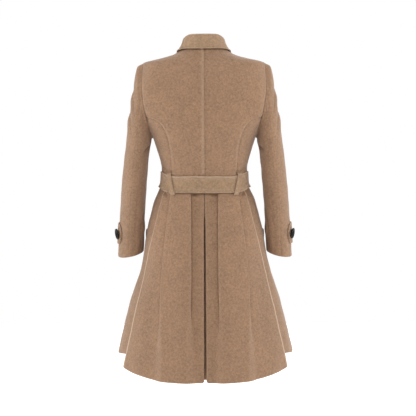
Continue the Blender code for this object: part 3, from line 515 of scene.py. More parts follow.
print(len(BACK_CREASES) + len(FRONT_CREASES), "creases on the body,",
      len(LEFT_SLEEVE_CREASES) + len(RIGHT_SLEEVE_CREASES), "on the sleeves")

# %% [markdown]
# ## Wool, horn and thread
# The cloth is felted camel wool: short fibres lie over a twill that hardly shows, and the colour is mottled.
# A picture of cloth would be one way. Here noise at three sizes, streaks along the cloth and a fine diagonal
# wave make it, in a node group that each wool uses with its own colour. How sharply the cloth bends is kept
# on each point as an attribute, with more painted light added on some pieces. Ridges and folded edges are
# painted paler, partly as worn nap and partly as a painted highlight, and valleys and creases are painted
# darker, as painted shade, without a picture.

# %% The felted wool group
# The pale colour of painted highlights on edges and ridges, partly also worn nap.
WORN_AND_HIGHLIGHT_COLOUR = (0.62, 0.45, 0.33, 1.0)
NOISE_ROUGHNESS = 0.6
# How much darker valleys and creases are painted, as painted shade.
VALLEY_SHADE = 0.30
GROUP_INPUTS = (("Base", "Color"), ("Place", "Vector"), ("Cloth", "Vector"), ("Wear and painted light", "Float"))
GROUP_OUTPUTS = (("Colour", "Color"), ("Roughness", "Float"), ("Height", "Float"))


def math_node(tree, operation, first, second):
    """A math node on two values, each a socket or a number."""
    node = add_node(tree, "Math")
    node.operation = operation
    for place, value in enumerate((first, second)):
        if isinstance(value, (int, float)):
            node.inputs[place].default_value = value
        else:
            tree.links.new(value, node.inputs[place])
    return node.outputs[0]


def add_weighted(tree, total, value, weight):
    """A total plus a value times its weight."""
    return math_node(tree, "ADD", total, math_node(tree, "MULTIPLY", value, weight))


def noise_node(tree, where, scale, detail):
    """Noise from 0 to 1 at a place, by the number of its patches in a metre."""
    node = add_node(tree, "TexNoise", {"Scale": scale, "Detail": detail, "Roughness": NOISE_ROUGHNESS})
    tree.links.new(where, node.inputs["Vector"])
    return node.outputs["Fac"]


def felted_wool_group():
    """Colour is the base times 1 plus weighted noises, darker in valleys and creases by a painted shade, and
    mixed towards a pale colour on ridges and edges as a painted highlight, partly worn nap.
    Height is a weighted sum of the fibres and the twill."""
    group = bpy.data.node_groups.new("felted_wool", "ShaderNodeTree")
    for in_out, sockets in (("INPUT", GROUP_INPUTS), ("OUTPUT", GROUP_OUTPUTS)):
        for name, kind in sockets:
            group.interface.new_socket(name=name, in_out=in_out, socket_type=f"NodeSocket{kind}")
    given = group.nodes.new("NodeGroupInput").outputs
    result = group.nodes.new("NodeGroupOutput").inputs
    patches = noise_node(group, given["Place"], scale=24.0, detail=2.0)
    mottle = noise_node(group, given["Place"], scale=160.0, detail=3.0)
    grain = noise_node(group, given["Place"], scale=620.0, detail=3.0)
    stretch = add_node(group, "Mapping", {"Scale": (900.0, 140.0, 1.0)})
    fibres = noise_node(group, stretch.outputs["Vector"], scale=1.0, detail=2.0)
    twill = add_node(group, "TexWave", {"Scale": 330.0, "Distortion": 2.5, "Detail": 2.0})
    twill.bands_direction = "DIAGONAL"
    shade = 1.0
    for noise, weight in ((patches, 0.25), (mottle, 1.00), (grain, 0.90), (fibres, 0.30)):
        shade = add_weighted(group, shade, math_node(group, "SUBTRACT", noise, 0.5), weight)
    # Painted shade: where the attribute is below 0, in valleys and creases, the colour is painted darker.
    shade = add_weighted(group, shade, math_node(group, "MINIMUM", given["Wear and painted light"], 0.0), VALLEY_SHADE)
    tint = add_node(group, "VectorMath")
    tint.operation = "SCALE"
    # Painted highlight, partly worn nap: where the attribute is above 0, the colour is mixed towards a pale
    # colour.
    towards_pale = add_node(group, "Mix")
    towards_pale.data_type = "RGBA"
    towards_pale.inputs["B"].default_value = WORN_AND_HIGHLIGHT_COLOUR
    height = 0.0
    for value, weight in ((grain, 0.80), (fibres, 0.50), (twill.outputs["Fac"], 0.25), (mottle, 0.90)):
        height = add_weighted(group, height, value, weight)
    rough = add_weighted(group, 0.80, mottle, 0.25)
    link_all(group, (given["Cloth"], stretch.inputs["Vector"]), (given["Cloth"], twill.inputs["Vector"]),
             (given["Base"], tint.inputs[0]), (shade, tint.inputs["Scale"]),
             (given["Wear and painted light"], towards_pale.inputs["Factor"]), (tint.outputs["Vector"], towards_pale.inputs["A"]),
             (towards_pale.outputs["Result"], result["Colour"]), (rough, result["Roughness"]),
             (height, result["Height"]))
    return group


FELTED_WOOL = felted_wool_group()
print("felted wool group with", len(FELTED_WOOL.nodes), "nodes")

# %% Wool, thread and horn
SHEEN_TINT = (1.0, 0.93, 0.85, 1.0)
HORN_STREAKS = ((0.45, (0.004, 0.0035, 0.003, 1.0)), (0.75, (0.022, 0.015, 0.010, 1.0)))


def bumped(tree, shader, height, distance, strength):
    """Lets a height move the shader's normal, as a bump of a size and a strength."""
    bump = add_node(tree, "Bump", {"Distance": distance, "Strength": strength})
    link_all(tree, (height, bump.inputs["Height"]), (bump.outputs["Normal"], shader.inputs["Normal"]))


def wool(name, colour):
    """Felted wool of one colour, with the soft pale sheen of fibres that stand off the cloth."""
    material, tree, shader = new_material(name)
    felt = add_node(tree, "Group")
    felt.node_tree = FELTED_WOOL
    felt.inputs["Base"].default_value = (*colour, 1.0)
    place = add_node(tree, "TexCoord")
    # The attribute of painted highlight and painted shade on each point, partly worn nap.
    wear_and_painted_light = add_node(tree, "Attribute")
    wear_and_painted_light.attribute_name = "wear_and_painted_light"
    link_all(tree, (place.outputs["Object"], felt.inputs["Place"]),
             (place.outputs["UV"], felt.inputs["Cloth"]),
             (wear_and_painted_light.outputs["Fac"], felt.inputs["Wear and painted light"]), (felt.outputs["Colour"], shader.inputs["Base Color"]),
             (felt.outputs["Roughness"], shader.inputs["Roughness"]))
    bumped(tree, shader, felt.outputs["Height"], distance=0.0008, strength=0.55)
    set_inputs(shader, {"Specular IOR Level": 0.25, "Sheen Weight": 0.30, "Sheen Roughness": 0.55,
                        "Sheen Tint": SHEEN_TINT})
    return material


def horn(name):
    """Polished black horn: streaks of brown in the black, and faint scratches in the polish."""
    material, tree, shader = new_material(name)
    place = add_node(tree, "TexCoord")
    stretch = add_node(tree, "Mapping", {"Scale": (1.0, 1.0, 0.3)})
    tree.links.new(place.outputs["Object"], stretch.inputs["Vector"])
    streaks = noise_node(tree, stretch.outputs["Vector"], scale=160.0, detail=4.0)
    scratches = noise_node(tree, place.outputs["Object"], scale=1400.0, detail=2.0)
    colours = add_node(tree, "ValToRGB")
    for stop, (position, colour) in zip(colours.color_ramp.elements, HORN_STREAKS):
        stop.position = position
        stop.color = colour
    rough = add_weighted(tree, 0.30, scratches, 0.18)
    link_all(tree, (streaks, colours.inputs["Fac"]), (colours.outputs["Color"], shader.inputs["Base Color"]),
             (rough, shader.inputs["Roughness"]))
    bumped(tree, shader, scratches, distance=0.0001, strength=0.3)
    set_inputs(shader, {"Specular IOR Level": 0.20})
    return material


def thread(name, colour):
    """Twisted sewing thread: fine noise in the colour and the bump."""
    material, tree, shader = new_material(name)
    place = add_node(tree, "TexCoord")
    twist = noise_node(tree, place.outputs["Object"], scale=1800.0, detail=2.0)
    tint = add_node(tree, "VectorMath")
    tint.operation = "SCALE"
    tint.inputs[0].default_value = colour
    link_all(tree, (add_weighted(tree, 0.8, twist, 0.4), tint.inputs["Scale"]),
             (tint.outputs["Vector"], shader.inputs["Base Color"]))
    set_inputs(shader, {"Roughness": 0.7})
    bumped(tree, shader, twist, distance=0.0002, strength=0.5)
    return material


COAT_WOOL = wool("coat_wool", (0.350, 0.208, 0.124))
TRIM_WOOL = wool("trim_wool", (0.378, 0.243, 0.145))
BLACK_HORN = horn("black_horn")
CAMEL_THREAD = thread("camel_thread", (0.300, 0.190, 0.118))
BLACK_THREAD = thread("black_thread", (0.012, 0.011, 0.010))
MATERIALS = (COAT_WOOL, TRIM_WOOL, BLACK_HORN, CAMEL_THREAD, BLACK_THREAD)
print("materials:", [material.name for material in MATERIALS])

# %% [markdown]
# ## From a grid of points to a wall of cloth
# A cut piece of wool is a wall about 2.5 mm thick with soft edges. A flat grid with the Solidify modifier
# would give sharp edges, so here the wall is worked out: half the thickness goes to each side of a grid of
# middle points, and close to an edge it falls to nothing along a quarter circle. Where two such pieces meet,
# a small groove is left, which is what a pressed seam looks like.

# %% The wall of cloth
EDGE_STEPS = np.array([0.10, 0.40, 1.00])
EDGE_LIMIT = 0.6
SHORTEST = 1e-5
# The bend for the full effect, and its weight on plain and trim pieces: a painted highlight on ridges, partly
# worn nap, and painted shade in valleys.
WEAR_AND_LIGHT_BEND = 260.0
PLAIN_WEAR_AND_LIGHT = 0.1
TRIM_WEAR_AND_LIGHT = 0.3
Piece = namedtuple("Piece", "thing outer normal flat area")
PIECES = {}


def rounded_edges(points, radii):
    """The grid with three more rows close inside each edge, and the share of the thickness at each point."""
    share = np.ones((1, 1))
    profile = np.sqrt(1 - (1 - EDGE_STEPS) ** 2)
    for axis, radius in enumerate(radii):
        rows = np.moveaxis(points, axis, 0)
        ends = []
        for edge, inner in ((rows[0], rows[1]), (rows[-1], rows[-2])):
            reach = np.minimum(radius, EDGE_LIMIT * np.linalg.norm(inner - edge, axis=-1))[:, None]
            ends.append(edge + EDGE_STEPS[:, None, None] * reach * unit(inner - edge))
        rows = np.concatenate([rows[:1], ends[0], rows[1:-1], ends[1][::-1], rows[-1:]])
        full = np.concatenate([[0], profile, np.ones(len(rows) - 2 * len(profile) - 2), profile[::-1], [0]])
        share = share * (full[:, None] if axis == 0 else full[None, :])
        points = np.moveaxis(rows, 0, axis)
    return points, share


def bend(points, normal, axis):
    """How sharply the cloth bends along one way of the grid, per metre: positive on a ridge."""
    rows, out = np.moveaxis(points, axis, 0), np.moveaxis(normal, axis, 0)
    step = np.diff(rows, axis=0)
    length = np.maximum(np.linalg.norm(step, axis=-1), SHORTEST)
    change = np.diff(step / length[..., None], axis=0)
    turn = np.zeros(rows.shape[:2])
    turn[1:-1] = -2 * (change * out[1:-1]).sum(-1) / (length[1:] + length[:-1])
    return np.moveaxis(turn, 0, axis)


def quads(index):
    """The four corners of every cell of a grid of point numbers, facing out."""
    corners = [index[:-1, :-1], index[:-1, 1:], index[1:, 1:], index[1:, :-1]]
    return np.stack(corners, axis=-1).reshape(-1, 4)


def new_mesh(name, points, faces, material):
    """A smooth mesh object from an array of points and a list of faces."""
    mesh = bpy.data.meshes.new(name)
    mesh.from_pydata(points.tolist(), [], faces)
    mesh.materials.append(material)
    mesh.shade_smooth()
    return put(name, mesh)


def cloth_piece(name, middle, thickness, material=COAT_WOOL, side_round=None, bend_wear_and_light=PLAIN_WEAR_AND_LIGHT, pale=0.0):
    """A closed wall of cloth: the middle plus half the thickness outside, and minus it inside."""
    flat = (float(run_along(middle, 1)[:, -1].max()), float(run_along(middle, 0)[-1].max()))
    # The given painted highlight and painted shade, widened over the rounded edges.
    pale = np.pad(np.broadcast_to(pale, middle.shape[:2]), len(EDGE_STEPS), mode="edge")
    middle, share = rounded_edges(middle, (thickness / 2, side_round or thickness / 2))
    normal = unit(np.cross(np.gradient(middle, axis=1), np.gradient(middle, axis=0)))
    half = (thickness / 2 * share)[..., None] * normal
    outer, inner = middle + half, (middle - half)[1:-1, 1:-1]
    count = outer.shape[0] * outer.shape[1]
    front = np.arange(count).reshape(outer.shape[:2])
    back = front.copy()
    back[1:-1, 1:-1] = count + np.arange(inner.shape[0] * inner.shape[1]).reshape(inner.shape[:2])
    faces = np.concatenate([quads(front), quads(back)[:, ::-1]])
    points = np.concatenate([outer.reshape(-1, 3), inner.reshape(-1, 3)])
    thing = new_mesh(name, points, faces.tolist(), material)
    spread = np.stack([run_along(middle, 1), run_along(middle, 0)], axis=-1)
    cloth = np.concatenate([spread.reshape(-1, 2), spread[1:-1, 1:-1].reshape(-1, 2)])
    thing.data.uv_layers.new(name="cloth").data.foreach_set("uv", cloth[faces.reshape(-1)].reshape(-1))
    # Painted light on each point: the given painted highlight and shade, plus a painted highlight on ridges,
    # partly worn nap, and painted shade in valleys, by how sharply the cloth bends; turned round on the inner
    # face.
    wear_and_painted_light = pale + bend_wear_and_light * np.clip((bend(outer, normal, 0) + bend(outer, normal, 1)) / WEAR_AND_LIGHT_BEND, -1, 1)
    wear_and_painted_light = np.concatenate([wear_and_painted_light.reshape(-1), -wear_and_painted_light[1:-1, 1:-1].reshape(-1)])
    thing.data.attributes.new("wear_and_painted_light", "FLOAT", "POINT").data.foreach_set("value", wear_and_painted_light)
    first, second = np.diff(middle[:-1], axis=1), np.diff(middle[:, :-1], axis=0)
    area = float(np.linalg.norm(np.cross(first, second), axis=-1).sum())
    PIECES[name] = Piece(thing, outer, normal, flat, area)
    print(f"{name}: {len(faces)} faces, cut about {flat[0]:.3f} by {flat[1]:.3f} m, {area:.4f} square metres")


# %% [markdown]
# ## Panels on the form
# The bodice panels are cut along the neckline, the armholes, the princess seams and the side seams. Each
# panel is bounded by four such lines, and a Coons patch fills the space between them: both pairs of opposite
# edges are blended across, and the corners, which were counted twice, are taken off once.

# %% Filling a panel between its edges
WOOL = 0.0025
SEAM_LAP = 0.0004
FINE = 7
FORM_SAMPLES = 2000
STITCH_INSET = 0.006
GROOVE_DEPTH = 0.0006
GROOVE_WIDTH = 0.0011
# Painted highlight along the ridge beside each pressed seam.
PRESSED_SEAM_HIGHLIGHT = 90.0
RIDGE_END_Z = -0.380
RIDGE_FADE = 0.008
PUCKER = 0.00022
PUCKER_REACH = 0.007
PUCKER_LENGTH = 0.011
PUCKER_DRIFT = 1.7
PUCKER_DRIFT_LENGTH = 0.023
Seam = namedtuple("Seam", "dip dip_width ridge ridge_place ridge_width", defaults=(0.0, 0.005, 0.004))
PLAIN_SEAM = Seam(0.0003, 0.0025)


def fill_between(top, right, bottom, left):
    """A grid of (angle, height) between four edges: both pairs blended, minus the blended corners.
    Heights are counted as lengths down the form's side, as the shoulders are nearly level."""
    heights = np.linspace(LEVELS[0].height, LEVELS[-1].height, FORM_SAMPLES)
    drops = run_along(np.stack([level("half_width", heights), heights], axis=-1))
    top, right, bottom, left = (np.stack([edge[:, 0], np.interp(-edge[:, 1], -heights, drops)], axis=-1)
                                for edge in (top, right, bottom, left))
    u = ((shares(top) + shares(bottom)) / 2)[None, :, None]
    v = ((shares(left) + shares(right)) / 2)[:, None, None]
    across = (1 - u) * left[:, None] + u * right[:, None]
    down = (1 - v) * top[None] + v * bottom[None]
    corners = (1 - v) * ((1 - u) * top[0] + u * top[-1]) + v * ((1 - u) * bottom[0] + u * bottom[-1])
    grid = across + down - corners
    return grid[..., 0], np.interp(grid[..., 1], drops, heights)


def even(path, cells):
    """A path of (angle, height) pairs resampled at even steps along the cloth."""
    run = run_along(ring_point(path[:, 0], path[:, 1]))
    return read_off(np.linspace(0, run[-1], cells * FINE + 1), run, path)


def half_angle(angle, sign):
    """An angle of the left half, or its mirror image in the right half."""
    return angle if sign > 0 else math.pi - angle


def facing_out(grid, sign):
    """A grid as it is, or with its columns turned round for the right half, so that it faces out."""
    return grid if sign > 0 else grid[:, ::-1]


def on_side(angle, z, sign, lift=0.0):
    """A grid of the left half laid on the form, or the same for the right half, still facing out."""
    return facing_out(on_form(half_angle(angle, sign), z, lift), sign)


def beside_seams(points, first, last):
    """The distance along the rows to each side edge, with the seam there."""
    across = run_along(points, 1)
    return (across, first), (across[:, -1:] - across, last)


def pressed_ridge(points, first, last):
    """The swelling over the pressed allowances: a bell beside each side edge, flat under the belt."""
    clear = ease((points[..., 2] - RIDGE_END_Z) / RIDGE_FADE)
    return clear * sum(seam.ridge * bell(distance - seam.ridge_place, seam.ridge_width)
                       for distance, seam in beside_seams(points, first, last))


def seam_shape(points, first, last):
    """Along each long seam, the pressed ridge, a dip at the sewing and puckers that fade away from it."""
    down = run_along(points, 0)
    ripple = np.sin(2 * math.pi * down / PUCKER_LENGTH + PUCKER_DRIFT * np.sin(down / PUCKER_DRIFT_LENGTH))
    lift = pressed_ridge(points, first, last)
    for distance, seam in beside_seams(points, first, last):
        lift -= seam.dip * bell(distance, seam.dip_width)
        lift += PUCKER * ripple * np.exp(-distance / PUCKER_REACH)
    return lift


def groove(distance):
    """The dip of a sewn line: a bell at the stitches' distance from the edge."""
    return -GROOVE_DEPTH * bell(distance - STITCH_INSET, GROOVE_WIDTH)


def let_out(points):
    """The grid with its four edges let out a hair, so that the cloth beside a seam always meets."""
    result = points.copy()
    for edge, inner in ((0, 1), (-1, -2)):
        result[edge] += SEAM_LAP * unit(points[edge] - points[inner])
        result[:, edge] += SEAM_LAP * unit(points[:, edge] - points[:, inner])
    return result


def panel(name, grid, sign, lift=0.0, seams=(PLAIN_SEAM, PLAIN_SEAM)):
    """A wall on the form from a grid of (angle, height), its outer face at the lift."""
    flat = ring_point(*grid)
    points = let_out(on_side(*grid, sign, lift + seam_shape(flat, *seams) - WOOL / 2))
    # Painted highlight along the pressed ridges, and painted shade in the creases.
    pale = PRESSED_SEAM_HIGHLIGHT * facing_out(pressed_ridge(flat, *seams), sign)
    cloth_piece(name, points, WOOL, pale=pale + crease_shade(body_creases(points)))


print("a stitched groove is", -groove(STITCH_INSET) * 1000, "mm deep")

# %% [markdown]
# ## Backs and side backs
# The back is two pieces with a seam down the middle, pressed to one side, so one edge stands a little higher
# and catches the light. A curved princess seam from each armhole to the waist shapes the back, and the side
# back fits between that seam and the side seam.

# %% Backs
BACK_BOW = 0.0113
FRONT_BOW = -0.004
PRINCESS_START = 0.716
PRINCESS_CURVE = ((0.105, -0.210), (0.100, -0.280), (0.097, WAIST_Z))
CENTRE_SEAM = {1: Seam(0.0004, 0.0020, 0.0018, 0.0042, 0.0042), -1: Seam(0.0015, 0.0050)}
INBOARD_SEAM = Seam(0.0005, 0.0022, 0.0009, 0.0045, 0.0045)
OUTBOARD_SEAM = Seam(0.0022, 0.0045)
NECK_CELLS, SHOULDER_CELLS, ARMHOLE_CELLS, PRINCESS_CELLS, SIDE_BACK_CELLS = 7, 6, 5, 8, 5
SIDES = (("left", 1), ("right", -1))


def neckline():
    """From the nape to the neck point, rising as one minus the sine of the angle."""
    angle = np.linspace(math.pi / 2, 0, PATH_POINTS)
    return np.stack([angle, NECK_POINT_Z * (1 - np.sin(angle))], axis=-1)


def down_at_angle(angle, top_z, low_z):
    """Straight down the form at one angle."""
    return np.stack([np.full(PATH_POINTS, angle), np.linspace(top_z, low_z, PATH_POINTS)], axis=-1)


def waist_between(start, end):
    """Round the waist from one angle to another."""
    return np.stack([np.linspace(start, end, PATH_POINTS), np.full(PATH_POINTS, WAIST_Z)], axis=-1)


def armhole_spot(share, front=False):
    """Angle and height at a share of the way from shoulder tip to armpit: a straight line with a sine bow."""
    z = blend(SHOULDER_TIP_Z, ARMPIT_Z, share)
    tip_x, pit_x = (level("half_width", np.array(height)) for height in (SHOULDER_TIP_Z, ARMPIT_Z))
    x = blend(tip_x, pit_x, share) + (FRONT_BOW if front else BACK_BOW) * np.sin(math.pi * share)
    return np.stack([angle_at(x, z, front), z], axis=-1)


def armhole(start, end, front=False):
    """Part of the armhole, between two shares of its height."""
    return armhole_spot(np.linspace(start, end, PATH_POINTS), front)


def princess_seam():
    """A cubic curve in the back view, from the back of the armhole down to the waist."""
    angle, z = armhole_spot(np.array(PRINCESS_START))
    path = bezier((ring_point(angle, z)[0], z), *PRINCESS_CURVE)
    return np.stack([angle_at(path[:, 0], path[:, 1]), path[:, 1]], axis=-1)


def make_back(name, sign):
    """Between the centre back, the neck, the shoulder with armhole and princess seam, and the waist."""
    top = even(neckline(), NECK_CELLS)
    shoulder = even(down_at_angle(0.0, NECK_POINT_Z, SHOULDER_TIP_Z), SHOULDER_CELLS)
    right = joined(shoulder, even(armhole(0, PRINCESS_START), ARMHOLE_CELLS),
                   even(princess_seam(), PRINCESS_CELLS))
    bottom = even(waist_between(math.pi / 2, right[-1, 0]), NECK_CELLS)
    left = joined(even(down_at_angle(math.pi / 2, 0.0, SHOULDER_TIP_Z), SHOULDER_CELLS),
                  even(down_at_angle(math.pi / 2, SHOULDER_TIP_Z, WAIST_Z), ARMHOLE_CELLS + PRINCESS_CELLS))
    panel(name, fill_between(top, right, bottom, left), sign, seams=(CENTRE_SEAM[sign], INBOARD_SEAM))


def make_side_back(name, sign):
    """Between the princess seam, the low end of the armhole, the side seam and the waist."""
    left = even(princess_seam(), PRINCESS_CELLS)
    right = even(down_at_angle(0.0, ARMPIT_Z, WAIST_Z), PRINCESS_CELLS)
    top = even(armhole(PRINCESS_START, 1), SIDE_BACK_CELLS)
    bottom = even(waist_between(left[-1, 0], 0.0), SIDE_BACK_CELLS)
    panel(name, fill_between(top, right, bottom, left), sign, seams=(OUTBOARD_SEAM, PLAIN_SEAM))


for side, sign in SIDES:
    make_back(f"back_{side}", sign)
    make_side_back(f"side_back_{side}", sign)

# %% [markdown]
# ## Fronts and lapels
# The right front laps over the left one, and both turn out along a straight roll line into lapels. A lapel
# is the front's own cloth, so beyond the roll line it is carried round most of a half turn that ends at the
# front's edge.

# %% Fronts
FRONT_LAP = 0.070
LAP_CLEAR = 0.004
LAP_SLOPE = 0.060
LAYER = WOOL + 0.0006
LAPEL_RISE = LAYER + 0.0021
LAP_SINK = LAYER + 0.0008
GORGE_Z = -0.018
NOTCH = (0.104, -0.052)
LAPEL_TIP = (0.116, -0.080)
LAPEL_BELLY = (0.085, -0.160)
LAPEL_FOOT = 0.012
ROLL_END = math.radians(150)
ROLL_STEPS = 10
FREE_EDGE_LIFT = 0.0022
FREE_EDGE_WIDTH = 0.008
FREE_EDGE_FADE = 0.03
BELT_HALF = 0.034
LAPEL_EDGE_LIFT = 0.0014
FRONT_CELLS, FRONT_ARMHOLE_CELLS, FRONT_SIDE_CELLS = 12, 8, 5
LAPEL_CELLS, LAPEL_TOP_CELLS = 9, 5


def roll_x(z):
    """Where the left front's edge turns out into the lapel: straight, seen from the front."""
    neck_x = level("half_width", np.array(NECK_POINT_Z))
    return neck_x - (neck_x + FRONT_LAP) * (NECK_POINT_Z - z) / (NECK_POINT_Z - BREAK_Z)


def front_edge(top_z, low_z):
    """The free edge of the left front: the roll line, then straight down past the middle."""
    z = np.linspace(top_z, low_z, PATH_POINTS)
    return on_front(np.stack([np.maximum(roll_x(z), -FRONT_LAP), z], axis=-1))


def on_front(path):
    """A path of (x, height) pairs on the front, as (angle, height)."""
    return np.stack([angle_at(path[:, 0], path[:, 1], front=True), path[:, 1]], axis=-1)


def front_lift(angle, z, sign):
    """The left front sinks where the right front lies over it, and more where its lapel lies between."""
    if sign < 0:
        return np.zeros(angle.shape)
    x = ring_point(angle, z)[..., 0]
    over_edge = -np.maximum(roll_x(z), -FRONT_LAP)
    depth = LAP_SINK + LAPEL_RISE * ease((z - WAIST_Z) / (BREAK_Z - WAIST_Z))
    return -depth * (1 - ease((x - over_edge - LAP_CLEAR) / LAP_SLOPE))


def free_edge(distance, z):
    """A free edge of thick cloth stands off by a bell of the distance to it, but not under the belt."""
    off_belt = ease((np.abs(z - WAIST_Z) - BELT_HALF) / FREE_EDGE_FADE)
    clear = ease((BREAK_Z - z) / FREE_EDGE_FADE) * off_belt
    return clear * FREE_EDGE_LIFT * bell(distance, FREE_EDGE_WIDTH) + groove(distance)


def make_front(name, sign):
    """The right front laps over the left, so only its edge is free."""
    top = even(down_at_angle(0.0, SHOULDER_TIP_Z, NECK_POINT_Z), FRONT_CELLS)
    left = joined(even(armhole(0, 1, front=True), FRONT_ARMHOLE_CELLS),
                  even(down_at_angle(0.0, ARMPIT_Z, WAIST_Z), FRONT_SIDE_CELLS))
    right = joined(even(front_edge(NECK_POINT_Z, BREAK_Z), FRONT_ARMHOLE_CELLS),
                   even(front_edge(BREAK_Z, WAIST_Z), FRONT_SIDE_CELLS))
    bottom = even(waist_between(0.0, right[-1, 0]), FRONT_CELLS)
    grid = fill_between(top, right, bottom, left)
    across = run_along(ring_point(*grid), 1)
    lift = front_lift(*grid, sign)
    if sign < 0:
        lift = lift + free_edge(across[:, -1:] - across, grid[1])
    panel(name, grid, sign, lift)


def make_lapel(name, sign):
    """The turned-out part of a front, with a roll that ends beside the front's edge."""
    edge = bezier(LAPEL_TIP, LAPEL_BELLY, LAPEL_BELLY, (-FRONT_LAP + LAPEL_FOOT, BREAK_Z))
    top = bezier(LAPEL_TIP, LAPEL_TIP, NOTCH, (roll_x(GORGE_Z), GORGE_Z))
    left = even(on_front(edge), LAPEL_CELLS)
    right = even(front_edge(GORGE_Z, BREAK_Z), LAPEL_CELLS)
    bottom = even(np.stack([left[-1], right[-1]]), LAPEL_TOP_CELLS)
    angle, z = fill_between(even(on_front(top), LAPEL_TOP_CELLS), right, bottom, left)
    from_edge = run_along(ring_point(angle, z), 1)
    sunk = front_lift(angle, z, sign)
    uncovered = 1 + sunk / (LAP_SINK + LAPEL_RISE)
    lift = sunk + LAPEL_RISE - WOOL / 2 + groove(from_edge)
    lift = lift + uncovered * LAPEL_EDGE_LIFT * bell(from_edge, FREE_EDGE_WIDTH)
    turned = half_angle(angle, sign)
    flat = on_form(turned, z, lift)
    out = on_form(turned[:, -1], z[:, -1], lift[:, -1] + 1.0) - flat[:, -1]
    away = unit(flat[:, -1] - flat[:, -2])
    turn = np.linspace(0, ROLL_END, ROLL_STEPS)[1:, None, None]
    roll = flat[:, -1] + LAPEL_RISE / 2 * (np.sin(turn) * away + (np.cos(turn) - 1) * out)
    whole = np.concatenate([flat, np.moveaxis(roll, 0, 1)], axis=1)
    cloth_piece(name, facing_out(whole, sign), WOOL)


for side, sign in SIDES:
    make_front(f"front_{side}", sign)
    make_lapel(f"lapel_{side}", sign)

# %% [markdown]
# ## Collar
# A coat collar has a stand that rises from the neck seam and a fall that turns over it and lies on the
# shoulders. It is one strip carried round the neck: up the stand, over a narrow fold and down the fall, and
# where the fall would sink into the shoulders it is pushed out to lie on them.

# %% The collar
COLLAR_WOOL = 0.0028
COLLAR_TOP_Z = 0.0410
COLLAR_SIDE_Z = 0.0260
COLLAR_EDGE_Z = -0.0085
COLLAR_EDGE_BACK_RISE = 0.0045
COLLAR_ROLL = 0.0011
COLLAR_ROLL_WIDTH = 0.0035
COLLAR_EDGE_LIFT = 0.0065
COLLAR_FOLD_RADIUS = 0.0030
COLLAR_LEAN = 0.006
COLLAR_LEAN_CURVE = 1.3
COLLAR_SIDE_LEAN = 0.003
COLLAR_BULGE = 0.003
COLLAR_HOLLOW = 0.0035
COLLAR_SWEEP = 2.2
COLLAR_BACK_TURN = math.radians(60)
NOTCH_LIFT = 0.0065
COLLAR_SEAM_RISE = 0.0016
COLLAR_FRONT_STAND = 0.007
COLLAR_REST = 0.0038
COLLAR_BACK_CELLS, COLLAR_FRONT_CELLS = 6, 4
STAND_ROWS, FOLD_ROWS, FALL_ROWS = 8, 13, 26
UP = np.array([0.0, 0.0, 1.0])


def push_clear(points, rest):
    """Points moved out to a height above the form where they would lie lower."""
    x, y, z = np.moveaxis(points, -1, 0)
    held = np.minimum(z, NECK_POINT_Z)
    base = on_form(angle_facing(x, y, held), held, rest)
    low = (np.hypot(x, y) < np.hypot(base[..., 0], base[..., 1])) & (z < NECK_POINT_Z)
    return np.where(low[..., None], base, points)


def make_collar(name):
    """Stand, half-circle fold and fall, row by row round the neck, for the left half and its mirror image."""
    back = even(neckline(), COLLAR_BACK_CELLS)
    front = even(front_edge(NECK_POINT_Z, GORGE_Z), COLLAR_FRONT_CELLS)
    seam = joined(back, front)
    angle, z = seam.T
    behind = np.concatenate([np.ones(len(back)), 1 - np.linspace(0, 1, len(front))[1:]])
    at_back = ease(angle / COLLAR_BACK_TURN)
    foot = on_form(angle, z, -COLLAR_WOOL / 2) + COLLAR_SEAM_RISE * UP
    out = unit((on_form(angle, z, 1.0) - on_form(angle, z)) * (1 - UP))
    back_top = blend(COLLAR_SIDE_Z, COLLAR_TOP_Z, at_back)
    front_top = foot[:, 2] + blend(COLLAR_FRONT_STAND, COLLAR_SIDE_Z - NECK_POINT_Z, behind)
    stand = (np.where(behind == 1, back_top, front_top) - COLLAR_FOLD_RADIUS - foot[:, 2])[:, None]
    lean = (blend(COLLAR_SIDE_LEAN, COLLAR_LEAN, at_back) * behind)[:, None]
    notch_angle = on_front(np.array([NOTCH]))[0, 0]
    edge_angle = np.where(behind == 1, angle, notch_angle * (1 - behind))
    edge_z = blend(COLLAR_EDGE_Z, NOTCH[1], (1 - behind) ** COLLAR_SWEEP) + COLLAR_EDGE_BACK_RISE * at_back
    edge_lift = blend(COLLAR_REST, COLLAR_EDGE_LIFT, at_back) + (NOTCH_LIFT - COLLAR_REST) * (1 - behind)
    edge = on_form(edge_angle, edge_z, edge_lift)
    rows = [foot + share * stand * UP - share**COLLAR_LEAN_CURVE * lean * out
            for share in np.arange(STAND_ROWS) / STAND_ROWS]
    for turn in np.linspace(0, math.pi, FOLD_ROWS):
        reach = COLLAR_FOLD_RADIUS * (1 - math.cos(turn)) - lean
        rows.append(foot + reach * out + (stand + COLLAR_FOLD_RADIUS * math.sin(turn)) * UP)
    fold = rows[-1]
    full = (COLLAR_BULGE * at_back - COLLAR_HOLLOW * (1 - at_back) * behind)[:, None]
    for share in np.arange(1, FALL_ROWS + 1) / FALL_ROWS:
        to_edge = (1 - share) * np.linalg.norm(edge - fold, axis=-1)
        roll = COLLAR_ROLL * bell(to_edge, COLLAR_ROLL_WIDTH) + groove(to_edge)
        fall = blend(fold, edge, share) + full * math.sin(math.pi * share) * out
        rows.append(push_clear(fall, COLLAR_REST) + roll[:, None] * out)
    points = np.stack(rows)
    points[:, 0, 0] = 0.0
    mirrored = points[:, :0:-1] * np.array([-1.0, 1.0, 1.0])
    whole = np.concatenate([mirrored, points], axis=1)[:, ::-1]
    cloth_piece(name, whole, COLLAR_WOOL, TRIM_WOOL, bend_wear_and_light=TRIM_WEAR_AND_LIGHT)


make_collar("collar")

# %% [markdown]
# ## Sleeves
# A tailored sleeve has a top and an under piece, joined by a seam behind and one before. Both lie on rings
# that start as the armhole itself and grow into ovals down the arm, each ring spanned between a point on the
# sleeve's outer edge and one on its inner edge.

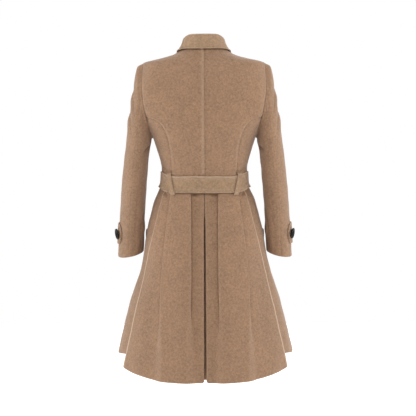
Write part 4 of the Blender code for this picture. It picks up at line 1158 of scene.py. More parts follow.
# %% The sleeves
Ring = namedtuple("Ring", "outer_x outer_z inner_x inner_z middle_y half_depth bond")
SLEEVE_RINGS = (
    Ring(0.1860, SHOULDER_TIP_Z, 0.1585, ARMPIT_Z, -0.006, 0.0600, 1.00),
    Ring(0.1885, -0.0437, 0.1607, -0.2690, -0.006, 0.0600, 1.00),
    Ring(0.2020, -0.0510, 0.1625, -0.2730, -0.005, 0.0590, 0.75),
    Ring(0.2095, -0.0730, 0.1640, -0.2840, -0.004, 0.0600, 0.45),
    Ring(0.2170, -0.1180, 0.1682, -0.3010, -0.004, 0.0625, 0.18),
    Ring(0.2250, -0.1680, 0.1712, -0.3200, -0.004, 0.0640, 0.00),
    Ring(0.2346, -0.2300, 0.1740, -0.3450, -0.005, 0.0640, 0.00),
    Ring(0.2445, -0.3000, 0.1780, -0.3850, -0.007, 0.0620, 0.00),
    Ring(0.2532, -0.3700, 0.1822, -0.4300, -0.010, 0.0600, 0.00),
    Ring(0.2603, -0.4350, 0.1860, -0.4850, -0.015, 0.0570, 0.00),
    Ring(0.2665, -0.5050, 0.1900, -0.5400, -0.022, 0.0540, 0.00),
    Ring(0.2715, -0.5720, 0.1923, -0.5860, -0.031, 0.0510, 0.00),
    Ring(0.2768, -0.6430, 0.1957, -0.6285, -0.041, 0.0480, 0.00),
)
SLEEVE_SHIFT = np.array([0.0005, 0.0, -0.0001])
SLEEVE_SEAM_ROUND = 0.0005
CUFF_DROP = 0.0045
CUFF_DROP_FROM = 11.45
HEAD_DIP = 0.0005
HEAD_DIP_WIDTH = 0.003
BACK_SLEEVE_SEAM = math.radians(88)
FRONT_SLEEVE_SEAM = math.radians(-115)
SLEEVE_ROWS = 160
TOP_SLEEVE_CELLS, UNDER_SLEEVE_CELLS = 8, 7


def ring_oval(outer_x, outer_z, inner_x, inner_z, middle_y, half_depth, turn):
    """An oval ring: across by half of one minus the cosine of the turn, behind by its sine."""
    inward = (1 - np.cos(turn)) / 2
    x, z = blend(outer_x, inner_x, inward), blend(outer_z, inner_z, inward)
    return np.stack([x, middle_y + half_depth * np.sin(turn), z], axis=-1)


def sleeve_point(turn, row):
    """The left sleeve: an oval ring, plus the armhole's difference from its own oval times the bond.
    The cuff is lower behind by a soft step down the rows."""
    turn, row = np.broadcast_arrays(turn, row)
    knots = np.arange(len(SLEEVE_RINGS))
    *oval, bond = (smooth_curve(knots, np.array(column), row) for column in zip(*SLEEVE_RINGS))
    inward = (1 - np.cos(turn)) / 2
    spot = np.where(np.sin(turn)[..., None] > 0, armhole_spot(inward), armhole_spot(inward, front=True))
    seam = ring_point(spot[..., 0], spot[..., 1]) + SLEEVE_SHIFT
    point = ring_oval(*oval, turn) + bond[..., None] * (seam - ring_oval(*SLEEVE_RINGS[0][:-1], turn))
    low = ease((row - CUFF_DROP_FROM) / (len(SLEEVE_RINGS) - 1 - CUFF_DROP_FROM))
    return point - (CUFF_DROP * low * np.maximum(np.sin(turn), 0))[..., None] * UP


def on_sleeve(turn, row, sign, lift=0.0):
    """The creased outer face of one sleeve, moved out along its normal."""
    nudge = 1e-3
    mirror = np.array([sign, 1, 1])
    round_it = sleeve_point(turn + nudge, row) - sleeve_point(turn - nudge, row)
    down_it = sleeve_point(turn, row + nudge) - sleeve_point(turn, row - nudge)
    point = sleeve_point(turn, row)
    lift = lift + sleeve_creases(turn, row, sign) + unevenness(point * mirror)
    return mirror * (point + lift[..., None] * unit(np.cross(down_it, round_it)))


def make_sleeve(name, sign, start, end, cells):
    """Part of a sleeve between two turns, from the armhole, where it dips, to the cuff."""
    turn = np.linspace(start, end, cells * FINE + 1)
    row = np.linspace(0, len(SLEEVE_RINGS) - 1, SLEEVE_ROWS)[:, None]
    face = sleeve_point(turn, row)
    lift = seam_shape(face, PLAIN_SEAM, PLAIN_SEAM) - HEAD_DIP * bell(run_along(face), HEAD_DIP_WIDTH)
    points = let_out(on_sleeve(turn, row, sign, lift - WOOL / 2))
    # Painted shade in the sleeve's creases.
    shade = crease_shade(sleeve_creases(turn, row, sign))
    points, shade = facing_out(points, sign), facing_out(shade, sign)
    cloth_piece(name, points, WOOL, side_round=SLEEVE_SEAM_ROUND, pale=shade)


for side, sign in SIDES:
    make_sleeve(f"top_sleeve_{side}", sign, BACK_SLEEVE_SEAM, FRONT_SLEEVE_SEAM, TOP_SLEEVE_CELLS)
    make_sleeve(f"under_sleeve_{side}", sign, FRONT_SLEEVE_SEAM + 2 * math.pi, BACK_SLEEVE_SEAM,
                UNDER_SLEEVE_CELLS)

# %% [markdown]
# ## Pleated skirt
# Each back skirt has pressed folds that are sharp under the belt and open into soft waves towards the hem,
# and its inner edge is the slit at the centre back. A row of the skirt is a path of lengths round the form
# and depths under it: flat stretches joined by folds, and the rows are stacked from the waist to the hem.

# %% Folds of the skirt
PLEAT_WOOL = 0.0022
SKIRT_TOP_Z = WAIST_Z - 0.0010
HEM_LAP_Z = -0.972
PLEAT_PITCH = 0.0032
PLEAT_TUCK = 0.012
PLEAT_HOLD = 0.004
EDGE_DEPTH = 0.0010
SIDE_RAMP = 0.060
HEM_UNDER_Z = -0.933
HEM_UNDER_RAMP = 0.110
LAP_PITCH = 0.0046
LAP_PROUD = 0.0022
LAP_PROUD_CURVE = 0.3
LAP_PROUD_REACH = 0.012
SKIRT_UNDER_SLOPE = 0.22
# A painted highlight along the lap pleat's folded edge: how strong it is high up and low down, and where it
# grows.
LAP_HIGHLIGHT_TOP = 0.4
LAP_HIGHLIGHT_LOW = 1.25
LAP_HIGHLIGHT_FROM = 0.2
LAP_HIGHLIGHT_SPAN = 0.25
SLIT_CORNER = 0.008
LAP_CORNER = 0.006
SLIT_UNDERLAP = 0.014
SLIT_GAP_TOP = 0.0004
SLIT_GAP_LOW = 0.0044
SLIT_GAP_HEM = 0.0072
SLIT_OPENS = (0.10, 0.24)
SLIT_PITCH = 0.0080
CENTRE_PITCH = 0.0054
CENTRE_DEEPENS = 0.12
RING_POINTS = 700
FOLD_POINTS = 9
SLIT_CELLS, FOLD_CELLS, CENTRE_CELLS, FLAT_CELLS, LAP_UNDER_CELLS = 7, 5, 12, 22, 4
TUCK_POINTS, RAMP_POINTS, FRONT_POINTS = 5, 18, 80
SKIRT_ROWS = 140
Pleat = namedtuple("Pleat", "waist_x middle_x hem_x opens wave_width wave_depth")
CENTRE_PLEAT = Pleat(0.0422, 0.0412, 0.0400, 0.40, 0.036, 0.017)
SIDE_PLEAT = Pleat(0.0985, 0.1330, 0.1440, 0.45, 0.040, 0.012)
LAP_PLEAT = Pleat(0.1205, 0.1925, 0.2570, 1.00, 0.000, 0.000)


def fold_x(pleat, share):
    """Where a fold edge runs: the parabola through its places at the waist, half way down and at the hem."""
    return (pleat.waist_x * (1 - share) * (1 - 2 * share) + 4 * pleat.middle_x * share * (1 - share)
            + pleat.hem_x * share * (2 * share - 1))


def ring_run(z):
    """Angles round a ring, and the length of cloth from the centre back to each."""
    angle = np.linspace(2 * math.pi / 3, -math.pi, RING_POINTS)
    run = run_along(ring_point(angle, np.full(angle.shape, z)))
    return angle, run - np.interp(-math.pi / 2, -angle, run)


def fold_run(pleat, z):
    """The length of cloth from the centre back to a fold edge at a height."""
    share = np.clip((z - SKIRT_TOP_Z) / (HEM_BACK_Z - SKIRT_TOP_Z), 0, 1)
    angle, run = ring_run(z)
    return np.interp(-angle_at(fold_x(pleat, share), z), -angle, run)


def half_turn(at, first, last, way, reach=PLEAT_PITCH / 2):
    """Points on a half circle round a folded edge, from one depth to another, bulging the given way."""
    turn = np.linspace(-math.pi / 2, math.pi / 2, FOLD_POINTS)
    depth = (first + last) / 2 + (last - first) / 2 * np.sin(turn)
    return np.stack([at + way * reach * np.cos(turn), depth], axis=-1)


def between(a, b, cells):
    """Points strictly between two (length, depth) points."""
    return blend(np.asarray(a), np.asarray(b), np.linspace(0, 1, cells + 1)[1:-1, None])


def z_fold(far, near, depths):
    """A pressed fold: out to the far edge, back under to the near one and out again."""
    first, last = half_turn(far, depths[0], depths[1], 1), half_turn(near, depths[1], depths[2], -1)
    return np.concatenate([first, between(first[-1], last[0], FOLD_CELLS), last])


def opened_fold(pressed, pleat, at, share):
    """The same fold as it opens towards the hem into a soft wave."""
    step = np.linspace(0, 1, len(pressed))
    rise = ease(step) if pressed[0, 1] < pressed[-1, 1] else 1 - ease(step)
    wave = np.stack([at + pleat.wave_width * (step - 0.5), pleat.wave_depth * rise], axis=-1)
    return blend(pressed, wave, ease((share - pleat.opens) / (1 - pleat.opens)))


def slit_edge(edge, depth, sign):
    """The folded edge at the centre back. The left one runs on under the right one and backs the slit."""
    near = edge + (PLEAT_PITCH + PLEAT_WOOL) / 2
    if sign > 0:
        fold = z_fold(SLIT_UNDERLAP, near, (depth + 2 * SLIT_PITCH, depth + SLIT_PITCH, depth))
        start = (-SLIT_UNDERLAP, depth + 2 * SLIT_PITCH)
    else:
        fold = half_turn(near, depth + SLIT_PITCH, depth, -1)
        start = (SLIT_UNDERLAP, depth + SLIT_PITCH)
    return np.concatenate([[start], between(start, fold[0], SLIT_CELLS), fold])


def rounding(distance, radius):
    """How far a rounded corner rises at a distance from its side."""
    away = np.clip(distance / radius, 0, 1)
    return radius * (1 - np.sqrt(1 - (1 - away) ** 2))


def skirt_row(share, sign):
    """One row of a back skirt, from the slit to the turned-under end of the lap pleat."""
    z = blend(SKIRT_TOP_Z, HEM_BACK_Z, share)
    at_centre, at_side, at_lap = (fold_run(pleat, z) for pleat in (CENTRE_PLEAT, SIDE_PLEAT, LAP_PLEAT))
    pitch, radius = PLEAT_PITCH, PLEAT_PITCH / 2
    opened = ease((share - SLIT_OPENS[0]) / (SLIT_OPENS[1] - SLIT_OPENS[0]))
    edge = blend(SLIT_GAP_TOP, blend(SLIT_GAP_LOW, SLIT_GAP_HEM, share), opened) / 2
    deep = blend(pitch, CENTRE_PITCH, ease(share / CENTRE_DEEPENS))
    centre = z_fold(at_centre + PLEAT_TUCK, at_centre + radius, (2 * deep, deep, 0.0))
    centre = opened_fold(centre, CENTRE_PLEAT, at_centre, share)
    side = z_fold(at_side - radius, at_side - PLEAT_TUCK, (0.0, pitch, 2 * pitch))
    side = opened_fold(side, SIDE_PLEAT, at_side, share)
    hold = (max(at_side, side[-1, 0]) + PLEAT_HOLD, side[-1, 1])
    slope = (hold[1] - EDGE_DEPTH) / (at_lap - hold[0])
    lap = half_turn(at_lap - LAP_PITCH / 2, EDGE_DEPTH, EDGE_DEPTH + LAP_PITCH, 1, LAP_PITCH / 2)
    under = (at_lap - PLEAT_TUCK, EDGE_DEPTH + slope * PLEAT_TUCK + LAP_PITCH)
    slit = slit_edge(edge, centre[0, 1], sign)
    row = np.concatenate([slit, between(slit[-1], centre[0], CENTRE_CELLS), centre,
                          between(centre[-1], side[0], FLAT_CELLS), side,
                          [hold], between(hold, lap[0], FLAT_CELLS), lap,
                          between(lap[-1], under, LAP_UNDER_CELLS), [under]])
    length, depth = row.T
    from_slit, from_lap = length - edge, at_lap - length
    from_slit[:len(slit) - FOLD_POINTS // 2] = 0.0
    from_lap[-FOLD_POINTS // 2 - LAP_UNDER_CELLS + 1:] = 0.0
    hem = blend(HEM_BACK_Z, HEM_LAP_Z, np.clip((length - at_side) / (at_lap - at_side), 0, 1))
    hem += rounding(from_slit, SLIT_CORNER) + rounding(from_lap, LAP_CORNER)
    proud = LAP_PROUD * share**LAP_PROUD_CURVE * np.exp(-np.maximum(at_lap - length, 0) / LAP_PROUD_REACH)
    angle, run = ring_run(z)
    turned = half_angle(np.interp(length, run, angle), sign)
    return on_form(turned, blend(SKIRT_TOP_Z, hem, share), proud - depth - PLEAT_WOOL / 2)


def make_skirt_back(name, sign):
    """The rows from the waist to the hem, with painted shade in the creases and a painted highlight
    along the lap edge.
    """
    share = np.linspace(0, 1, SKIRT_ROWS)
    points = np.stack([skirt_row(row, sign) for row in share])
    # Painted shade in the creases, and a painted highlight along the lap edge, stronger lower down.
    pale = crease_shade(body_creases(points))
    towards_pale = blend(LAP_HIGHLIGHT_TOP, LAP_HIGHLIGHT_LOW, ease((share - LAP_HIGHLIGHT_FROM) / LAP_HIGHLIGHT_SPAN))
    pale[:, -FOLD_POINTS - LAP_UNDER_CELLS:-LAP_UNDER_CELLS] = towards_pale[:, None]
    cloth_piece(name, facing_out(points, sign), PLEAT_WOOL, pale=facing_out(pale, sign))


def skirt_front_row(share, sign):
    """One row of a front skirt, from under the lap pleat round the side and past the middle of the front."""
    z = blend(SKIRT_TOP_Z, HEM_SIDE_Z, share)
    angle, run = ring_run(z)
    at_lap = fold_run(LAP_PLEAT, z)
    end = np.interp(-angle_at(-FRONT_LAP, z, front=True), -angle, run)
    length = joined(np.linspace(at_lap - PLEAT_TUCK, at_lap, TUCK_POINTS),
                    np.linspace(at_lap, at_lap + SIDE_RAMP, RAMP_POINTS),
                    np.linspace(at_lap + SIDE_RAMP, end, FRONT_POINTS))
    depth = (EDGE_DEPTH + LAP_PITCH + PLEAT_PITCH) * (1 - ease((length - at_lap) / SIDE_RAMP))
    depth += SKIRT_UNDER_SLOPE * np.maximum(at_lap - length, 0)
    hem = blend(HEM_UNDER_Z, HEM_SIDE_Z, ease((length - at_lap) / HEM_UNDER_RAMP))
    at, height = np.interp(length, run, angle), blend(SKIRT_TOP_Z, hem, share)
    lift = front_lift(at, height, sign) - depth - WOOL / 2
    if sign < 0:
        lift = lift + free_edge(end - length, height)
    return on_form(half_angle(at, sign), height, lift)


def make_skirt_front(name, sign):
    """The rows from the waist to the hem."""
    rows = np.stack([skirt_front_row(share, sign) for share in np.linspace(0, 1, SKIRT_ROWS)])
    points = facing_out(rows, sign)
    # Painted shade in the creases.
    cloth_piece(name, points, WOOL, pale=crease_shade(body_creases(points)))


for side, sign in SIDES:
    make_skirt_back(f"skirt_back_{side}", sign)
    make_skirt_front(f"skirt_front_{side}", sign)

# %% [markdown]
# ## Belt, loops, tabs and flaps
# These are doubled strips, turned and stitched near their edges, so each edge swells a little beside a
# shallow groove. They lie on the coat with a hair of air under them, and so they are made from the coat's
# own points, moved out.

# %% Belt and loops
BELT_TOP_Z = -0.3815
BELT_LOW_Z = -0.4325
BELT_SIDE_RISE = 0.009
BELT_RISE_FROM = 0.77
BELT_RISE_SPAN = 0.51
BELT_FLARE = 0.0022
BELT_WOOL = 0.0030
BELT_AIR = 0.0010
BELT_CELLS = 300
BELT_START = math.radians(-76)
BELT_END = math.radians(312)
BELT_RISE_START = math.radians(232)
BELT_RISE_END = math.radians(262)
BELT_WAVE = 0.0007
BELT_WAVE_SHORT = 0.6
BELT_LONG_WAVES, BELT_SHORT_WAVES = 5, 11
BELT_WAVE_START = 0.6
# Painted highlight along the belt's top edge.
BELT_EDGE_HIGHLIGHT = 0.35
STRIP_EDGE_ROWS = 6
STRIP_GROOVE_ROWS = np.array([0.6, 1.4])
STRIP_INNER_ROWS = 6
LAY_GAP = 0.0006
LOOP_TOP_X = 0.1063
LOOP_LOW_X = 0.0935
LOOP_WIDTH = 0.014
LOOP_OVERHANG = 0.0080
LOOP_BEND = 0.0050
LOOP_BEND_LIFT = 0.002
LOOP_CLEAR = 0.002
LOOP_ROWS, LOOP_COLUMNS = 46, 9


def strip_rows(height):
    """Distances down a strip, close together at both stitched edges."""
    edge = np.linspace(0, STITCH_INSET, STRIP_EDGE_ROWS)
    edge = np.concatenate([edge, STITCH_INSET + GROOVE_WIDTH * STRIP_GROOVE_ROWS])
    inner = np.linspace(edge[-1], height - edge[-1], STRIP_INNER_ROWS + 2)[1:-1]
    return np.concatenate([edge, inner, height - edge[::-1]])


def belt_rise(angle):
    """How much higher the belt runs at the sides and in front: a soft step on the angle's sine."""
    return BELT_SIDE_RISE * ease((BELT_RISE_FROM - np.sin(angle)) / BELT_RISE_SPAN)


def make_belt(name):
    """A strip round the form whose lower edge stands off a little, as the skirt under it is pleated."""
    angle = np.linspace(BELT_END, BELT_START, BELT_CELLS + 1)
    down = strip_rows(BELT_TOP_Z - BELT_LOW_Z)[:, None]
    wave = np.sin(BELT_LONG_WAVES * angle + BELT_WAVE_START)
    wave += BELT_WAVE_SHORT * np.sin(BELT_SHORT_WAVES * angle)
    z = BELT_TOP_Z - down + belt_rise(angle) + BELT_WAVE * wave
    rise = ease((angle - BELT_RISE_START) / (BELT_RISE_END - BELT_RISE_START))
    lift = BELT_AIR + (BELT_WOOL + LAY_GAP) * rise + BELT_WOOL / 2 + BELT_FLARE * (down / down[-1]) ** 2
    lift = lift + groove(down) + groove(down[-1] - down)
    points = on_form(np.broadcast_to(angle, z.shape), z, lift)
    # Painted highlight along the belt's top edge.
    pale = BELT_EDGE_HIGHLIGHT * bell(down, STITCH_INSET)
    cloth_piece(name, points, BELT_WOOL, TRIM_WOOL, bend_wear_and_light=TRIM_WEAR_AND_LIGHT, pale=pale)


def make_belt_loop(name, sign):
    """A narrow strip that stands over the belt, sewn down above and below it."""
    over = BELT_AIR + BELT_WOOL + LAY_GAP
    reach = np.array([LOOP_OVERHANG, LOOP_BEND, LOOP_CLEAR])
    middle = angle_at((LOOP_TOP_X + LOOP_LOW_X) / 2, WAIST_Z)
    knots = np.concatenate([BELT_TOP_Z + reach, BELT_LOW_Z - reach[::-1]]) + belt_rise(middle)
    lifts = np.array([LAY_GAP, LOOP_BEND_LIFT, over, over + BELT_FLARE, LOOP_BEND_LIFT + BELT_FLARE, LAY_GAP])
    z = np.linspace(knots[0], knots[-1], LOOP_ROWS)[:, None]
    lift = smooth_curve(knots[::-1], lifts[::-1], z) + WOOL / 2
    x = blend(LOOP_TOP_X, LOOP_LOW_X, (z[0] - z) / (z[0] - z[-1]))
    x = x + LOOP_WIDTH * np.linspace(-0.5, 0.5, LOOP_COLUMNS)
    z, lift = np.broadcast_to(z, x.shape), np.broadcast_to(lift, x.shape)
    cloth_piece(name, on_side(angle_at(x, z), z, sign, lift), WOOL, TRIM_WOOL, bend_wear_and_light=TRIM_WEAR_AND_LIGHT)


make_belt("belt")
for side, sign in SIDES:
    make_belt_loop(f"belt_loop_{side}", sign)

# %% Cuff tabs and pocket flaps
DOUBLE_WOOL = 0.0032
TAB_AIR = 0.0012
TAB_BACK = math.radians(48)
TAB_ROUND = math.radians(18)
TAB_FRONT = math.radians(-75)
TAB_END_SHARE = 0.35
TAB_TOP_ROW = 10.45
TAB_LOW_ROW = 11.42
TAB_MIDDLE_ROW = (TAB_TOP_ROW + TAB_LOW_ROW) / 2
TAB_ROUND_POINTS, TAB_POINTS, TAB_ROWS = 14, 44, 21
FLAP_BACK = math.radians(-3)
FLAP_LEAN = math.radians(9)
FLAP_FRONT = math.radians(-46)
FLAP_TOP_Z = -0.559
FLAP_HEIGHT = 0.044
FLAP_SLANT = 0.012
FLAP_AIR = 0.0010
FLAP_CORNER = 0.010
FLAP_POINTS = 50


def make_cuff_tab(name, sign):
    """A strap round the back and outside of the cuff, whose height follows a circle at its rounded end."""
    past = np.sin(np.linspace(math.pi / 2, 0, TAB_ROUND_POINTS))
    turn = joined(TAB_BACK - TAB_ROUND * (1 - past), np.linspace(TAB_BACK - TAB_ROUND, TAB_FRONT, TAB_POINTS))
    past = np.concatenate([past, np.zeros(TAB_POINTS - 1)])
    half = (TAB_LOW_ROW - TAB_TOP_ROW) / 2 * np.maximum(np.sqrt(1 - past**2), TAB_END_SHARE)
    row = TAB_MIDDLE_ROW + half * np.linspace(-1, 1, TAB_ROWS)[:, None]
    points = on_sleeve(np.broadcast_to(turn, row.shape), row, sign, TAB_AIR + DOUBLE_WOOL / 2)
    cloth_piece(name, facing_out(points, sign), DOUBLE_WOOL, bend_wear_and_light=TRIM_WEAR_AND_LIGHT)


def make_pocket_flap(name, sign):
    """A strip on the front skirt with rounded lower corners, whose back edge leans forwards."""
    along = np.linspace(0, 1, FLAP_POINTS)
    down = strip_rows(FLAP_HEIGHT)[:, None] / FLAP_HEIGHT
    angle = FLAP_BACK - FLAP_LEAN * down + (FLAP_FRONT - FLAP_BACK) * along
    length = run_along(ring_point(angle[0], np.full(along.shape, FLAP_TOP_Z)))
    drop = FLAP_HEIGHT - rounding(length, FLAP_CORNER) - rounding(length[-1] - length, FLAP_CORNER)
    z = FLAP_TOP_Z + FLAP_SLANT * along - drop * down
    cloth_piece(name, on_side(angle, z, sign, np.full(z.shape, FLAP_AIR + DOUBLE_WOOL / 2)), DOUBLE_WOOL)


for side, sign in SIDES:
    make_cuff_tab(f"cuff_tab_{side}", sign)
    make_pocket_flap(f"pocket_flap_{side}", sign)

# %% [markdown]
# ## Buttons and buckle
# The buttons are turned from horn: a dished middle with four holes, a raised rim and a rounded edge. A
# profile carried round an axis gives the disc, and each hole is a smooth dip in its height. The buckle is a
# round bar carried along a rectangle with rounded corners, with a prong across it.

# %% Buttons
BUTTON_AIR = 0.0005
BUTTON_RADIUS = 0.017
BUTTON_X = 0.050
BUTTON_PROFILE = ((0.00, 0.0028), (0.52, 0.0030), (0.66, 0.0037), (0.80, 0.0045), (0.91, 0.0043),
                  (0.98, 0.0033), (1.00, 0.0020), (0.97, 0.0006), (0.88, 0.0), (0.0, 0.0))
BUTTON_STEPS = np.concatenate([np.linspace(0.02, 1, 26), np.linspace(1, len(BUTTON_PROFILE) - 1.05, 52)[1:]])
BUTTON_TURNS = 72
BUTTON_FACE = 0.0025
CORNER_WAYS = ((1, 1), (-1, 1), (-1, -1), (1, -1))
HOLE_PLACE = 0.0034
HOLE_RADIUS = 0.0013
HOLE_DEPTH = 0.0016
TAB_BUTTON = math.radians(26)
CUFF_BUTTON_DROOP = 0.12
CUFF_BUTTON_SHANK = 0.0022
ButtonRow = namedtuple("ButtonRow", "height left_lift right_lift")
BUTTON_ROWS = (
    ButtonRow(-0.252, 0.0020, -0.0003),
    ButtonRow(-0.338, 0.0010, 0.0009),
    ButtonRow(-0.480, 0.0018, 0.0004),
)
BUTTON_PLACES = {}


def button_axes(base, tip):
    """Three directions of a button that stands on a base point: out, up and across."""
    out = unit(tip - base)
    across = unit(np.cross(UP, out))
    return out, np.cross(out, across), across


def ring_index(rows, columns):
    """The point numbers of a grid that closes on itself: its first column comes again after its last."""
    index = np.arange(rows * columns).reshape(rows, columns)
    return np.concatenate([index, index[:, :1]], axis=1)


def make_button(name, base, tip):
    """A profile carried round the button's axis. Its height dips by a soft step at each of four holes."""
    out, up, across = button_axes(base, tip)
    knots = np.arange(len(BUTTON_PROFILE))
    radius, height = (smooth_curve(knots, np.array(column), BUTTON_STEPS)[:, None]
                      for column in zip(*BUTTON_PROFILE))
    turn = np.linspace(0, 2 * math.pi, BUTTON_TURNS, endpoint=False)
    u, v = BUTTON_RADIUS * radius * np.cos(turn), BUTTON_RADIUS * radius * np.sin(turn)
    for way_u, way_v in CORNER_WAYS:
        gap = np.hypot(u - way_u * HOLE_PLACE / math.sqrt(2), v - way_v * HOLE_PLACE / math.sqrt(2))
        height = height - HOLE_DEPTH * (1 - ease(gap / HOLE_RADIUS - 0.5)) * (height > BUTTON_FACE)
    points = base + u[..., None] * across + v[..., None] * up + height[..., None] * out
    index = ring_index(*points.shape[:2])
    ends = [index[0, :-1].tolist(), index[-1, :-1][::-1].tolist()]
    faces = quads(index)[:, ::-1].tolist() + ends
    BUTTON_PLACES[name] = (new_mesh(name, points.reshape(-1, 3), faces, BLACK_HORN), base, tip)


for side, sign in SIDES:
    low, high = (on_sleeve(np.array(TAB_BUTTON), np.array(TAB_MIDDLE_ROW), sign, lift) for lift in (0.0, 1.0))
    base = low + (TAB_AIR + DOUBLE_WOOL + CUFF_BUTTON_SHANK) * (high - low)
    make_button(f"cuff_button_{side}", base, base + (high - low) - CUFF_BUTTON_DROOP * UP)
    for number, place in enumerate(BUTTON_ROWS, 1):
        angle = angle_at(sign * BUTTON_X, np.array(place.height), front=True)
        low, high = (on_form(angle, np.array(place.height), lift) for lift in (0.0, 1.0))
        lift = (place.left_lift if sign > 0 else place.right_lift) + BUTTON_AIR
        make_button(f"front_button_{side}_{number}", blend(low, high, lift), high)
print(len(BUTTON_PLACES), "buttons")

# %% Buckle
BUCKLE_WIDTH = 0.054
BUCKLE_HEIGHT = 0.062
BUCKLE_CORNER = 0.010
BUCKLE_WIRE = 0.0030
BUCKLE_X = 0.012
BUCKLE_Y = -0.1226
BUCKLE_CORNER_POINTS = 12
PRONG_WIRE = 0.0013
PRONG_Y = -0.1190
PRONG_POINTS = 14
TUBE_SIDES = 16


def tube(path, radius, across, closed):
    """A round bar: at each point of a path, a circle in the plane of the side and the across directions."""
    steps = np.roll(path, -1, 0) - np.roll(path, 1, 0) if closed else np.gradient(path, axis=0)
    side = unit(np.cross(unit(steps), across))
    turn = np.linspace(0, 2 * math.pi, TUBE_SIDES, endpoint=False)[None, :, None]
    points = path[:, None] + radius * (np.cos(turn) * side[:, None] + np.sin(turn) * across)
    index = ring_index(len(path), TUBE_SIDES)
    if closed:
        faces = quads(np.concatenate([index, index[:1]])).tolist()
    else:
        faces = quads(index).tolist() + [index[0, :-1][::-1].tolist(), index[-1, :-1].tolist()]
    return points.reshape(-1, 3), faces


def merged(*parts):
    """Parts of points and faces as one, with the point numbers of each counted on from the last."""
    starts = np.cumsum([0] + [len(points) for points, _ in parts])
    faces = [[corner + start for corner in face]
             for start, (_, part) in zip(starts.tolist(), parts) for face in part]
    return np.concatenate([points for points, _ in parts]), faces


def make_buckle(name):
    """A bar round four quarter circles, and a straight prong from side to side."""
    ways = np.array(CORNER_WAYS)
    quarter = np.linspace(0, math.pi / 2, BUCKLE_CORNER_POINTS)
    turn = np.arange(4)[:, None] * math.pi / 2 + quarter
    middle_z = WAIST_Z + BELT_SIDE_RISE
    x = BUCKLE_X + ways[:, :1] * (BUCKLE_WIDTH / 2 - BUCKLE_CORNER) + BUCKLE_CORNER * np.cos(turn)
    z = middle_z + ways[:, 1:] * (BUCKLE_HEIGHT / 2 - BUCKLE_CORNER) + BUCKLE_CORNER * np.sin(turn)
    path = np.stack([x.ravel(), np.full(x.size, BUCKLE_Y), z.ravel()], axis=-1)
    start, end = (np.array([BUCKLE_X + way * BUCKLE_WIDTH / 2, PRONG_Y, middle_z]) for way in (-1, 1))
    prong = blend(start, end, np.linspace(0, 1, PRONG_POINTS)[:, None])
    depth = np.array([0.0, 1.0, 0.0])
    bars = tube(path, BUCKLE_WIRE, depth, True), tube(prong, PRONG_WIRE, depth, False)
    return new_mesh(name, *merged(*bars), BLACK_HORN)


BUCKLE = make_buckle("buckle")
print("buckle with", len(BUCKLE.data.polygons), "faces")

# %% [markdown]
# ## Stitching
# The belt, the loops, the tabs, the flaps, the collar and the lapels are topstitched beside their edges in
# thread of the cloth's colour. Each stitch is a small spindle, pointed at both ends. A line is found in the
# cloth's own grid at a distance in from an edge, and all its stitches are one mesh.

# %% Topstitching
STITCH_PITCH = 0.0042
STITCH_LENGTH = 0.0032
STITCH_RADIUS = 0.00045
SPINDLE = np.array([(-1, 0, 0), (1, 0, 0), (0, 1, 0), (0, 0, 1), (0, -1, 0), (0, 0, -1)])
SPINDLE_FACES = np.array([(0, 3, 2), (0, 4, 3), (0, 5, 4), (0, 2, 5),
                          (1, 2, 3), (1, 3, 4), (1, 4, 5), (1, 5, 2)])
LOOP_STITCH_INSET = 0.003
GRID_EDGES = {"top": (0, 1), "bottom": (0, -1), "start": (1, 1), "end": (1, -1)}


def inset_line(grid, values, edge, inset):
    """Values of a grid along the line that lies a distance in from its top, bottom, start or end edge."""
    axis, way = GRID_EDGES[edge]
    rows, held = np.moveaxis(grid, axis, 0)[::way], np.moveaxis(values, axis, 0)[::way]
    run = run_along(rows)
    k = np.clip((run < inset).sum(axis=0), 1, len(rows) - 1)
    column = np.arange(rows.shape[1])
    before, after = run[k - 1, column], run[k, column]
    t = ((inset - before) / np.maximum(after - before, TINY))[:, None]
    side_run = run_along(rows, 1)[0]
    inside = (side_run > inset) & (side_run < side_run[-1] - inset)
    return blend(held[k - 1, column], held[k, column], t)[inside]


def stitches(name, host, edges, inset=STITCH_INSET):
    """Spindles along the host's edges: six corners each, set along, across and out of the cloth."""
    piece = PIECES[host]
    spots, alongs, outs = [], [], []
    for edge in edges:
        path, out = (inset_line(piece.outer, values, edge, inset) for values in (piece.outer, piece.normal))
        run = run_along(path)
        goal = np.arange(STITCH_PITCH / 2, run[-1], STITCH_PITCH)
        spots.append(read_off(goal, run, path))
        outs.append(read_off(goal, run, unit(out)))
        alongs.append(np.gradient(spots[-1], axis=0))
    spot, along, out = np.concatenate(spots), unit(np.concatenate(alongs)), unit(np.concatenate(outs))
    reach = SPINDLE * np.array([STITCH_LENGTH / 2, STITCH_RADIUS, STITCH_RADIUS])
    points = spot[:, None] + reach @ np.stack([along, np.cross(out, along), out], axis=1)
    faces = SPINDLE_FACES + len(SPINDLE) * np.arange(len(spot))[:, None, None]
    return new_mesh(name, points.reshape(-1, 3), faces.reshape(-1, 3).tolist(), CAMEL_THREAD)


STITCHES = {"belt": stitches("belt_stitches", "belt", ("top", "bottom")),
            "collar": stitches("collar_stitches", "collar", ("bottom",))}
for side, sign in SIDES:
    free, held = ("start", "end") if sign > 0 else ("end", "start")
    for node, word, edges, inset in (
            ("lapel", "lapel", (free, "top"), STITCH_INSET),
            ("front", "front", (held,), STITCH_INSET),
            ("skirt_front", "skirt", (held,), STITCH_INSET),
            ("cuff_tab", "tab", ("top", "bottom", free), STITCH_INSET),
            ("pocket_flap", "flap", ("bottom", free, held), STITCH_INSET),
            ("belt_loop", "loop", ("start", "end"), LOOP_STITCH_INSET)):
        host = f"{node}_{side}"
        STITCHES[host] = stitches(f"{word}_stitches_{side}", host, edges, inset)
print(sum(len(thing.data.vertices) for thing in STITCHES.values()) // len(SPINDLE), "stitches")

# %% Thread in the buttons
THREAD_POINTS = 12
THREAD_RADIUS = 0.0005
THREAD_LOW = 0.0021
THREAD_ARCH = 0.0012
THREAD_OVER = 0.0002


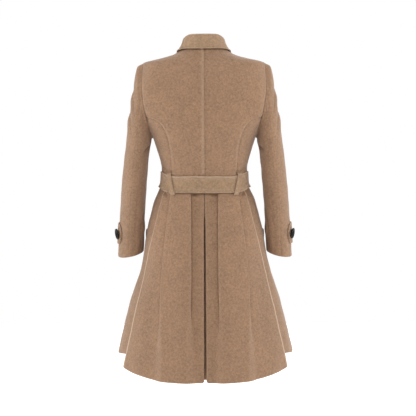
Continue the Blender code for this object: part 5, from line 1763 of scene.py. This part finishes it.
def make_button_thread(name, base, tip):
    """Two bars of thread that cross between the four holes, each a tube along a low arch."""
    out, up, across = button_axes(base, tip)
    share = np.linspace(-1, 1, THREAD_POINTS)[:, None]
    bars = []
    for way in (1, -1):
        line = HOLE_PLACE * share * (across + way * up) / math.sqrt(2)
        arch = (THREAD_LOW + THREAD_ARCH * (1 - share**4) + THREAD_OVER * way) * out
        bars.append(tube(base + line + arch, THREAD_RADIUS, unit(across - way * up), False))
    return new_mesh(name, *merged(*bars), BLACK_THREAD)


BUTTON_THREADS = [make_button_thread(f"{name}_thread", base, tip)
                  for name, (_, base, tip) in BUTTON_PLACES.items()]
print(len(BUTTON_THREADS), "buttons sewn on")

# %% [markdown]
# ## Tying the pieces to the imported model
# Every piece rides on the coat's one body, and the imported piece that it was made over, if any, is hidden.
# Each cloth piece also says how large it was cut, as measured on its own grid.

# %% Riding and hiding the imported pieces
HELD = {
    "collar": ("folded", ["back_left", "back_right"]),
    "belt": ("laid", ["side_back_left", "side_back_right"]),
}
for side, _ in SIDES:
    HELD.update({
        f"back_{side}": ("hung", ["collar"]),
        f"side_back_{side}": ("hung", [f"back_{side}"]),
        f"front_{side}": ("hung", [f"back_{side}"]),
        f"lapel_{side}": ("folded", [f"front_{side}"]),
        f"top_sleeve_{side}": ("hung", [f"back_{side}", f"front_{side}"]),
        f"under_sleeve_{side}": ("hung", [f"side_back_{side}"]),
        f"cuff_tab_{side}": ("laid", [f"top_sleeve_{side}"]),
        f"skirt_back_{side}": ("folded", [f"back_{side}", f"side_back_{side}"]),
        f"skirt_front_{side}": ("hung", [f"front_{side}"]),
        f"belt_loop_{side}": ("laid", ["belt"]),
        f"pocket_flap_{side}": ("laid", [f"skirt_front_{side}"]),
    })


def tie(thing):
    """Lets a piece ride on the coat's body."""
    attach(thing, "root")


for node, piece in PIECES.items():
    piece.thing.name = f"{node}_cloth"
    tie(piece.thing)
    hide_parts(node)
for thing in STITCHES.values():
    tie(thing)
for node, (thing, _, _) in BUTTON_PLACES.items():
    thing.name = f"{node}_horn"
    tie(thing)
    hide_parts(node)
for thing in BUTTON_THREADS:
    tie(thing)
BUCKLE.name = "buckle_horn"
tie(BUCKLE)
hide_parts("buckle")
for node, piece in PIECES.items():
    held, rests_on = HELD[node]
print(len(PIECES), "cloth pieces declared")
